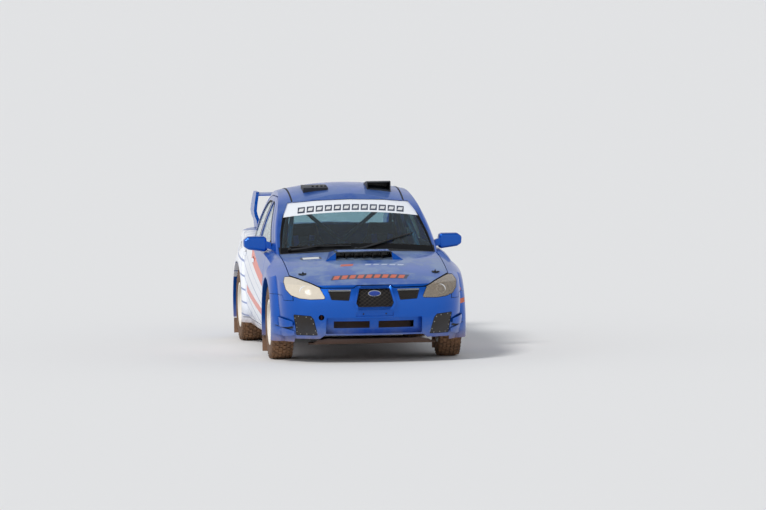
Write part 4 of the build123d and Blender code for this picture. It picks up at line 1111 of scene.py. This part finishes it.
def padMesh(name):
    # a crowned closed form on the shell, its sides pulling in between the corners
    v = seatValues
    first, last, thick = v["pads"][name]
    bm = bmesh.new()
    bmesh.ops.create_cube(bm, size=2)
    bmesh.ops.subdivide_edges(bm, edges=bm.edges[:], cuts=v["cuts"], use_grid_fill=True)
    for vert in bm.verts:
        a, b, c = vert.co
        crown = max((1 - a ** 4) * (1 - b ** 4), 0.0) ** 0.5
        t = first + (last - first) * (b * (1 - 0.04 * (1 - a * a)) + 1) / 2
        half = seatPoint(0, t, 0, 0)[1]
        across = a * half * v["padWidth"] * (1 - 0.05 * (1 - b * b))
        low = 0.004 + v["dish"] * a * a
        high = low + thick * (0.45 + 0.55 * crown)
        vert.co = seatPoint(v["centres"]["left"], t, across, low + (high - low) * (c + 1) / 2)[0]
    bmesh.ops.recalc_face_normals(bm, faces=bm.faces)
    mesh = bpy.data.meshes.new("pad_" + name)
    bm.to_mesh(mesh)
    bm.free()
    return mesh


def bake(piece):
    # what the modifiers make of the piece becomes its mesh
    depsgraph = bpy.context.evaluated_depsgraph_get()
    mesh = bpy.data.meshes.new_from_object(piece.evaluated_get(depsgraph))
    piece.modifiers.clear()
    piece.data = mesh
    return mesh


def puffPad(name):
    # inflates the form as cloth, with each point's travel capped, then presses the sewn channels in
    v = seatValues
    piece = bpy.data.objects.new("pad_" + name, padMesh(name))
    scene.collection.objects.link(piece)
    remesh = piece.modifiers.new("remesh", "REMESH")
    remesh.mode = "VOXEL"
    remesh.voxel_size = v["voxel"]
    mesh = bake(piece)
    start = [vert.co.copy() for vert in mesh.vertices]
    cloth = piece.modifiers.new("cloth", "CLOTH")
    cloth.settings.use_pressure = True
    cloth.settings.uniform_pressure_force = v["pressure"]
    cloth.settings.effector_weights.gravity = 0
    cloth.point_cache.frame_end = v["frames"]
    for frameNumber in range(1, v["frames"] + 1):
        scene.frame_set(frameNumber)
    mesh = bake(piece)
    scene.frame_set(1)
    for vert, old in zip(mesh.vertices, start):
        moved = vert.co - old
        if moved.length > v["cap"]:
            vert.co = old + moved.normalized() * v["cap"]
    rows = [seatPoint(0, t, 0, 0)[0] for t in range(v["rows"] + 1)]
    for vert in mesh.vertices:
        nearest = min(range(len(rows)), key=lambda i: (rows[i].y - vert.co.y) ** 2 + (rows[i].z - vert.co.z) ** 2)
        for channel in v["channels"][name]:
            gap = abs(nearest - channel)
            if gap < v["channelHalf"]:
                vert.co -= vert.normal * v["channelDepth"] * (1 - gap / v["channelHalf"])
    finish = piece.modifiers.new("smooth", "SUBSURF")
    finish.levels = finish.render_levels = 1
    mesh = bake(piece)
    bpy.data.objects.remove(piece)
    return mesh


def makeSeatPads():
    # the car's right seat takes the same pads, moved across
    v = seatValues
    for name in v["pads"]:
        puffed = puffPad(name)
        for side, centre in v["centres"].items():
            bm = bmesh.new()
            bm.from_mesh(puffed)
            bmesh.ops.translate(bm, verts=bm.verts, vec=(centre - v["centres"]["left"], 0, 0))
            piece = addPiece(f"seat_pad_{name}_{side}", bm, seatCloth, "car", 60)


harnessValues = {
    # seat rows, place across and height over the shell, each at the strap's start and end
    "shoulder": {"rows": (55, 25), "across": (0.075, 0.020), "height": 0.058, "bow": 0.0, "steps": 32},
    "lap": {"rows": (25.5, 22.0), "across": (0.188, 0.018), "height": 0.078, "bow": 0.006, "steps": 12},
    "width": 0.050, "thick": 0.002,
    "buckle": {"row": 23, "height": 0.086, "body": (0.033, 0.016), "button": (0.016, 0.008), "buttonAt": 0.010},
}


def makeHarness(name):
    # shoulder and lap webbing lying on the pads, with a round buckle
    v, centre = harnessValues, seatValues["centres"][name]
    bm = bmesh.new()
    for hand in (-1, 1):
        for strap in (v["shoulder"], v["lap"]):
            path, normals = [], []
            for k in range(strap["steps"] + 1):
                share = k / strap["steps"]
                t, across = [a + (b - a) * share for a, b in (strap["rows"], strap["across"])]
                height = strap["height"] + strap["bow"] * math.sin(math.pi * share)
                place = seatPoint(centre, t, hand * across, height)[0]
                path.append(place)
                normals.append((place - seatPoint(centre, t, hand * across, 0)[0]).normalized())
            ribbon(bm, path, normals, v["width"], v["thick"])
    addPiece("harness_" + name, bm, webbing, "car")
    bm = bmesh.new()
    buckle = v["buckle"]
    place = seatPoint(centre, buckle["row"], 0, buckle["height"])[0]
    normal = (place - seatPoint(centre, buckle["row"], 0, 0)[0]).normalized()
    solidDisc(bm, place, normal, *buckle["body"], 32, 0.004)
    solidDisc(bm, place + normal * buckle["buttonAt"], normal, *buckle["button"], 24, 0.002)
    addPiece("harness_buckle_" + name, bm, zinc, "car")


makeSeatShells()
makeSeatPads()
makeHarness("left")
makeHarness("right")
print("seats made")

cabinValues = {
    "gauges": (-0.455, -0.370, -0.285), "gaugeFace": -0.634, "gaugeHeight": 0.880,
    "ring": [(0.0185, 0), (0.0185, 0.005), (0.0155, 0.005), (0.0155, 0)], "ringFace": -0.6345,
    "panel": {"centre": (0.0, -0.637, 0.770), "size": (0.200, 0.012, 0.090)},
    "switch": {"first": (-0.072, -0.628, 0.750), "pitch": 0.036, "rows": 2, "columns": 5, "size": (0.005, 0.016)},
    "boss": {"axis": (0, 0.9063, 0.4226), "hub": (-0.370, -0.430, 0.8295), "cap": (0.030, 0.012), "capAt": 0.016,
             "bolts": 6, "circle": 0.0265, "bolt": (0.003, 0.007), "boltAt": 0.0135},
}


def makeGauges():
    v = cabinValues
    rings, faces = bmesh.new(), bmesh.new()
    for x in v["gauges"]:
        spinProfile(rings, v["ring"], (x, v["ringFace"], v["gaugeHeight"]), ahead, (0, 0, 1), 32)
        solidDisc(faces, (x, v["gaugeFace"], v["gaugeHeight"]), ahead, 0.0155, 0.002, 32)
    addPiece("gauge_rings", rings, zinc, "car")
    addPiece("gauge_faces", faces, filmWhite, "car")


def makeSwitchPanel():
    panel, v = cabinValues["panel"], cabinValues["switch"]
    bm = bmesh.new()
    solidBox(bm, panel["centre"], panel["size"], None, 0.004)
    for row in range(v["rows"]):
        for k in range(v["columns"]):
            spot = Vector(v["first"]) + Vector((k, 0, row)) * v["pitch"]
            solidDisc(bm, spot, (0, 1, 0.2), *v["size"], 12, 0.001)
    addPiece("switch_panel", bm, plasticBlack, "car")


def makeWheelBoss():
    v = cabinValues["boss"]
    axis, hub = Vector(v["axis"]), Vector(v["hub"])
    bm = bmesh.new()
    solidDisc(bm, hub + axis * v["capAt"], axis, *v["cap"], 32, 0.004)
    for k in range(v["bolts"]):
        angle = k * math.tau / v["bolts"]
        around = Vector((math.cos(angle), 0, 0)) + axis.cross(Vector((1, 0, 0))) * math.sin(angle)
        solidDisc(bm, hub + axis * v["boltAt"] + around * v["circle"], axis, *v["bolt"], 8)
    addPiece("wheel_boss", bm, plasticBlack, "steering_wheel")


makeGauges()
makeSwitchPanel()
makeWheelBoss()

sealValues = {
    "front": [(-0.488, 0.948), (-0.488, 0.990), (0.062, 1.288), (0.120, 1.304), (0.214, 1.310), (0.214, 0.948)],
    "rear": [(0.326, 0.948), (0.326, 1.308), (0.570, 1.300), (0.735, 1.264), (0.850, 1.196), (0.945, 1.085),
             (1.010, 0.948)],
    "width": 0.013, "step": 0.02, "out": 0.004, "leastWidth": 0.45,
    "sail": [(-0.482, 0.953), (-0.350, 0.953), (-0.480, 0.990), (-0.420, 1.020)],
}


def makeSideSeal(place, name, side):
    # rubber round one side window, laid on the door just outside its glass
    v = sealValues
    node = f"door_{place}_{name}"
    outline = [Vector(point) for point in v[place]]
    middle = sum(outline, Vector((0, 0))) / len(outline)
    points = divide(outline, v["step"])
    path, normals = [], []
    for point in points + points[:1]:
        y, z = point + (point - middle).normalized() * v["out"]
        hit, normal = landOn(node, (side * 2, y, z), (-side, 0, 0))
        if hit is not None and abs(hit.x) >= v["leastWidth"]:
            path.append(hit)
            normals.append(normal)
    bm = bmesh.new()
    ribbon(bm, path, normals, v["width"], 0.003, 0.002)
    addPiece(f"window_seal_{place}_{name}", bm, rubberBlack, node)


for name, side in sides.items():
    makeSideSeal("front", name, side)
    makeSideSeal("rear", name, side)
    bm = bmesh.new()
    sail = [(side * 2, y, z) for y, z in sealValues["sail"]]
    patch(bm, f"glass_front_{name}", sail, (-side, 0, 0), 0.003, 0.003, 6, 4)
    addPiece("window_sail_" + name, bm, plasticBlack, f"door_front_{name}")

rearValues = {
    # across and up, seen from behind
    "window": [(-0.610, 1.012), (-0.514, 1.310), (-0.280, 1.344), (0.0, 1.356), (0.280, 1.344), (0.514, 1.310),
               (0.610, 1.012), (0.300, 1.030), (0.0, 1.034), (-0.300, 1.030)],
    "windowMiddle": (0, 1.18), "windowInset": 0.007, "step": 0.03,
    "clear": (lensClear, "clear_lens", [(0.600, 0.775), (0.700, 0.775), (0.600, 0.812), (0.715, 0.812)]),
    "amber": (lensAmber, "red_lens", [(0.640, 0.850), (0.745, 0.845), (0.650, 0.885), (0.745, 0.880)]),
    "plate": {"half": 0.180, "low": 0.693, "high": 0.797},
    "lock": {"height": 0.86, "size": (0.014, 0.006)},
    "pipe": (0.470, 2.222, 0.262),
    "tip": [(0.036, -0.050), (0.036, 0.004), (0.034, 0.006), (0.031, 0.004), (0.031, -0.050)],
    "flap": {"y": 1.62, "z": 0.80, "radius": 0.075},
}


def makeTailLampPatch(kind, name, side):
    finish, slot, outline = rearValues[kind]
    bm = bmesh.new()
    patch(bm, "tail_lamps", [(side * x, tailSide, z) for x, z in outline], back, 0.0012, 0.0012, 6, 3)
    addPiece(f"lamp_{kind}_{name}", bm, finish, "car")


def makeBootDetails():
    # a blank plate and the lock
    v, lock = rearValues["plate"], rearValues["lock"]
    bm = bmesh.new()
    outline = [(x, tailSide, z) for z in (v["low"], v["high"]) for x in (-v["half"], v["half"])]
    patch(bm, "boot_lid", outline, back, 0.003, 0.003, 8, 3)
    addPiece("rear_plate_blank", bm, filmWhite, "boot_lid")
    bm = bmesh.new()
    place, normal = landOn("boot_lid", (0, tailSide, lock["height"]), back)
    solidDisc(bm, place + normal * 0.001, normal, *lock["size"], 24, 0.002)
    addPiece("boot_lock", bm, zinc, "boot_lid")


def makeRearWindowSeal():
    v = rearValues
    starts = []
    for spot in divide([Vector(point) for point in v["window"]], v["step"]):
        spot += (Vector(v["windowMiddle"]) - spot).normalized() * v["windowInset"]
        starts.append((spot.x, tailSide, spot.y))
    path, normals = traceOn("rear_window", starts, back)
    bm = bmesh.new()
    ribbon(bm, path + path[:1], normals + normals[:1], 0.016, 0.004, 0.003)
    addPiece("rear_window_seal", bm, rubberBlack, "car")


def makeExhaustTip():
    bm = bmesh.new()
    spinProfile(bm, rearValues["tip"], rearValues["pipe"], ahead, (0, 0, 1), 40)
    addPiece("exhaust_tip", bm, steel, "car")


def makeFuelFlap():
    # the gap round a round flap on the car's right, drawn as a black ring of painted shade
    v = rearValues["flap"]
    turns = [k * math.tau / 32 for k in range(33)]
    starts = [(-2, v["y"] + v["radius"] * math.cos(a), v["z"] + v["radius"] * math.sin(a)) for a in turns]
    bm = bmesh.new()
    ribbon(bm, *traceOn("body_sides", starts, (1, 0, 0)), 0.004, 0.002, 0.0008)
    addPiece("fuel_flap_gap", bm, shadeBlack, "car")


for name, side in sides.items():
    makeTailLampPatch("clear", name, side)
    makeTailLampPatch("amber", name, side)
makeBootDetails()
makeRearWindowSeal()
makeExhaustTip()
makeFuelFlap()

motifValues = {
    "count": 12, "first": -0.475, "pitch": 0.081, "width": 0.064, "lean": 0.014, "low": 1.256, "high": 1.303,
    "dark": (filmDark, 0.0, 0.0008), "pale": (filmWhite, 0.012, 0.0016),    # finish, inset, lift
}


def makeStripBars(part):
    # outlined leaning bars along the sun strip, following its bow
    v = motifValues
    finish, inset, lift = v[part]
    bm = bmesh.new()
    for k in range(v["count"]):
        start = v["first"] + k * v["pitch"] + inset
        shape = slanted(start, v["width"] - 2 * inset, v["low"] + inset, v["high"] - inset, v["lean"])
        outline = [(x, noseSide, z + screenValues["stripBow"] * x * x) for x, z in shape]
        patch(bm, "windscreen", outline, ahead, lift, 0.0006, 2, 2)
    addPiece("sun_strip_bars_" + part, bm, finish, "car")


makeStripBars("dark")
makeStripBars("pale")

cornerPatches = {"front_bumper": (0.490, 0.530), "front_wings": (0.600, 0.640)}    # low and high edge


def makeCornerPatches():
    # two orange labels at the car's left front corner, one on the bumper and one on the wing
    bm = bmesh.new()
    for node, (low, high) in cornerPatches.items():
        outline = [(2, -1.80, low), (2, -1.71, low + 0.01), (2, -1.79, high), (2, -1.70, high + 0.01)]
        patch(bm, node, outline, (-1, 0, 0), 0.0008, 0.0006, 4, 4)
    addPiece("corner_patches", bm, filmOrange, "car")


makeCornerPatches()
print("outside pieces made")

stageValues = {
    "floor": "#e6e4e0", "floorHalf": 130, "backdrop": "#eceae6", "sky": "#eef4ff",
    "skyLow": 0.42, "skyBand": 0.62, "skyTop": 0.3,    # light from the horizon, from the ring above it, from overhead
    "bandRise": (0.0, 0.25), "bandFall": (0.8, 0.45), "topFrom": (0.45, 0.8), "backdropFade": (0.6, 0.3),
    "sun": 2.0, "sunSpread": 14.0, "sunTowards": (0.55, 0.5, -0.75), "sunAt": (-5.5, -5, 7.5),
}


def makeFloor():
    # a pale matt floor that keeps the shadow
    v = stageValues
    material, add = newMaterial("paleFloorMatt")[:2]
    shader = add("BsdfPrincipled", {"Base Color": linear(v["floor"]), "Roughness": 0.9})[0]
    add("OutputMaterial", {"Surface": shader})
    bm = bmesh.new()
    bmesh.ops.create_grid(bm, x_segments=1, y_segments=1, size=v["floorHalf"])
    mesh = bpy.data.meshes.new("floor")
    bm.to_mesh(mesh)
    bm.free()
    mesh.materials.append(material)
    floor = bpy.data.objects.new("floor", mesh)
    scene.collection.objects.link(floor)


def makeSky():
    # a softly lit ring round the car, dimmer overhead so that the windscreen stays clear
    v = stageValues
    scene.world = bpy.data.worlds.new("studio")
    scene.world.use_nodes = True
    scene.world.node_tree.nodes.clear()
    add = partial(addNode, scene.world.node_tree)
    height = add("SeparateXYZ", [add("TexCoord")["Generated"]])[2]
    rise, fall, top, fade = [add("MapRange", [height, *v[part]], **smooth)[0]
                             for part in ("bandRise", "bandFall", "topFrom", "backdropFade")]
    ring = add("Math", [rise, fall], **multiply)[0]
    level = add("Math", [ring, v["skyBand"], v["skyLow"]], **multiplyAdd)[0]
    level = add("Math", [top, v["skyTop"] - v["skyLow"], level], **multiplyAdd)[0]
    # metal and glass show the same pale background as the camera does; it fades out overhead
    path = add("LightPath")
    seen = add("Math", [path["Is Glossy Ray"], path["Is Transmission Ray"]], **maximum)[0]
    seen = add("Math", [add("Math", [path["Is Camera Ray"], seen], **maximum)[0], fade], **multiply)[0]
    colour = add("Mix", {0: seen, 6: linear(v["sky"]), 7: linear(v["backdrop"])}, **blend)[2]
    light = add("Background", {"Color": colour, "Strength": add("Math", [level, seen], **maximum)[0]})[0]
    add("OutputWorld", {"Surface": light})


def makeSun():
    v = stageValues
    lamp = bpy.data.lights.new("softKey", "SUN")
    lamp.energy = v["sun"]
    lamp.angle = math.radians(v["sunSpread"])
    light = bpy.data.objects.new("softKey", lamp)
    light.rotation_mode = "QUATERNION"
    light.rotation_quaternion = Vector(v["sunTowards"]).to_track_quat("-Z", "Y")
    light.location = v["sunAt"]
    scene.collection.objects.link(light)


makeFloor()
makeSky()
makeSun()

cameraValues = {
    "azimuth": -6.5, "elevation": 4.0, "roll": 0.7,
    "distance": 86.7, "focalPixels": 9884.0, "sensor": 36, "clip": 400,
    "aim": (0.0, -2.232, 0.0), "aimPixel": (375.7, 364.0),
    "width": 766, "height": 510,
}


def makeCamera():
    v = cameraValues
    a, e = math.radians(v["azimuth"]), math.radians(v["elevation"])
    outward = Vector((math.sin(a) * math.cos(e), -math.cos(a) * math.cos(e), math.sin(e)))
    data = bpy.data.cameras.new("camera")
    camera = bpy.data.objects.new("camera", data)
    scene.collection.objects.link(camera)
    scene.camera = camera
    data.sensor_width = v["sensor"]
    data.lens = v["focalPixels"] * v["sensor"] / v["width"]
    data.clip_end = v["clip"]
    right = (v["aimPixel"][0] - v["width"] / 2) / v["focalPixels"]
    up = (v["height"] / 2 - v["aimPixel"][1]) / v["focalPixels"]
    look = (-outward).to_track_quat("-Z", "Y").to_matrix()
    roll = Matrix.Rotation(math.radians(-v["roll"]), 3, "Z")
    # the aim point stands at its pixel: turn the view off it by that much
    offset = Vector((right, up, -1)).normalized()
    turn = offset.rotation_difference(Vector((0, 0, -1))).to_matrix()
    camera.rotation_mode = "QUATERNION"
    camera.rotation_quaternion = (look @ roll @ turn).to_quaternion()
    camera.location = Vector(v["aim"]) + outward * v["distance"]


makeCamera()
scene.view_settings.view_transform = "Standard"
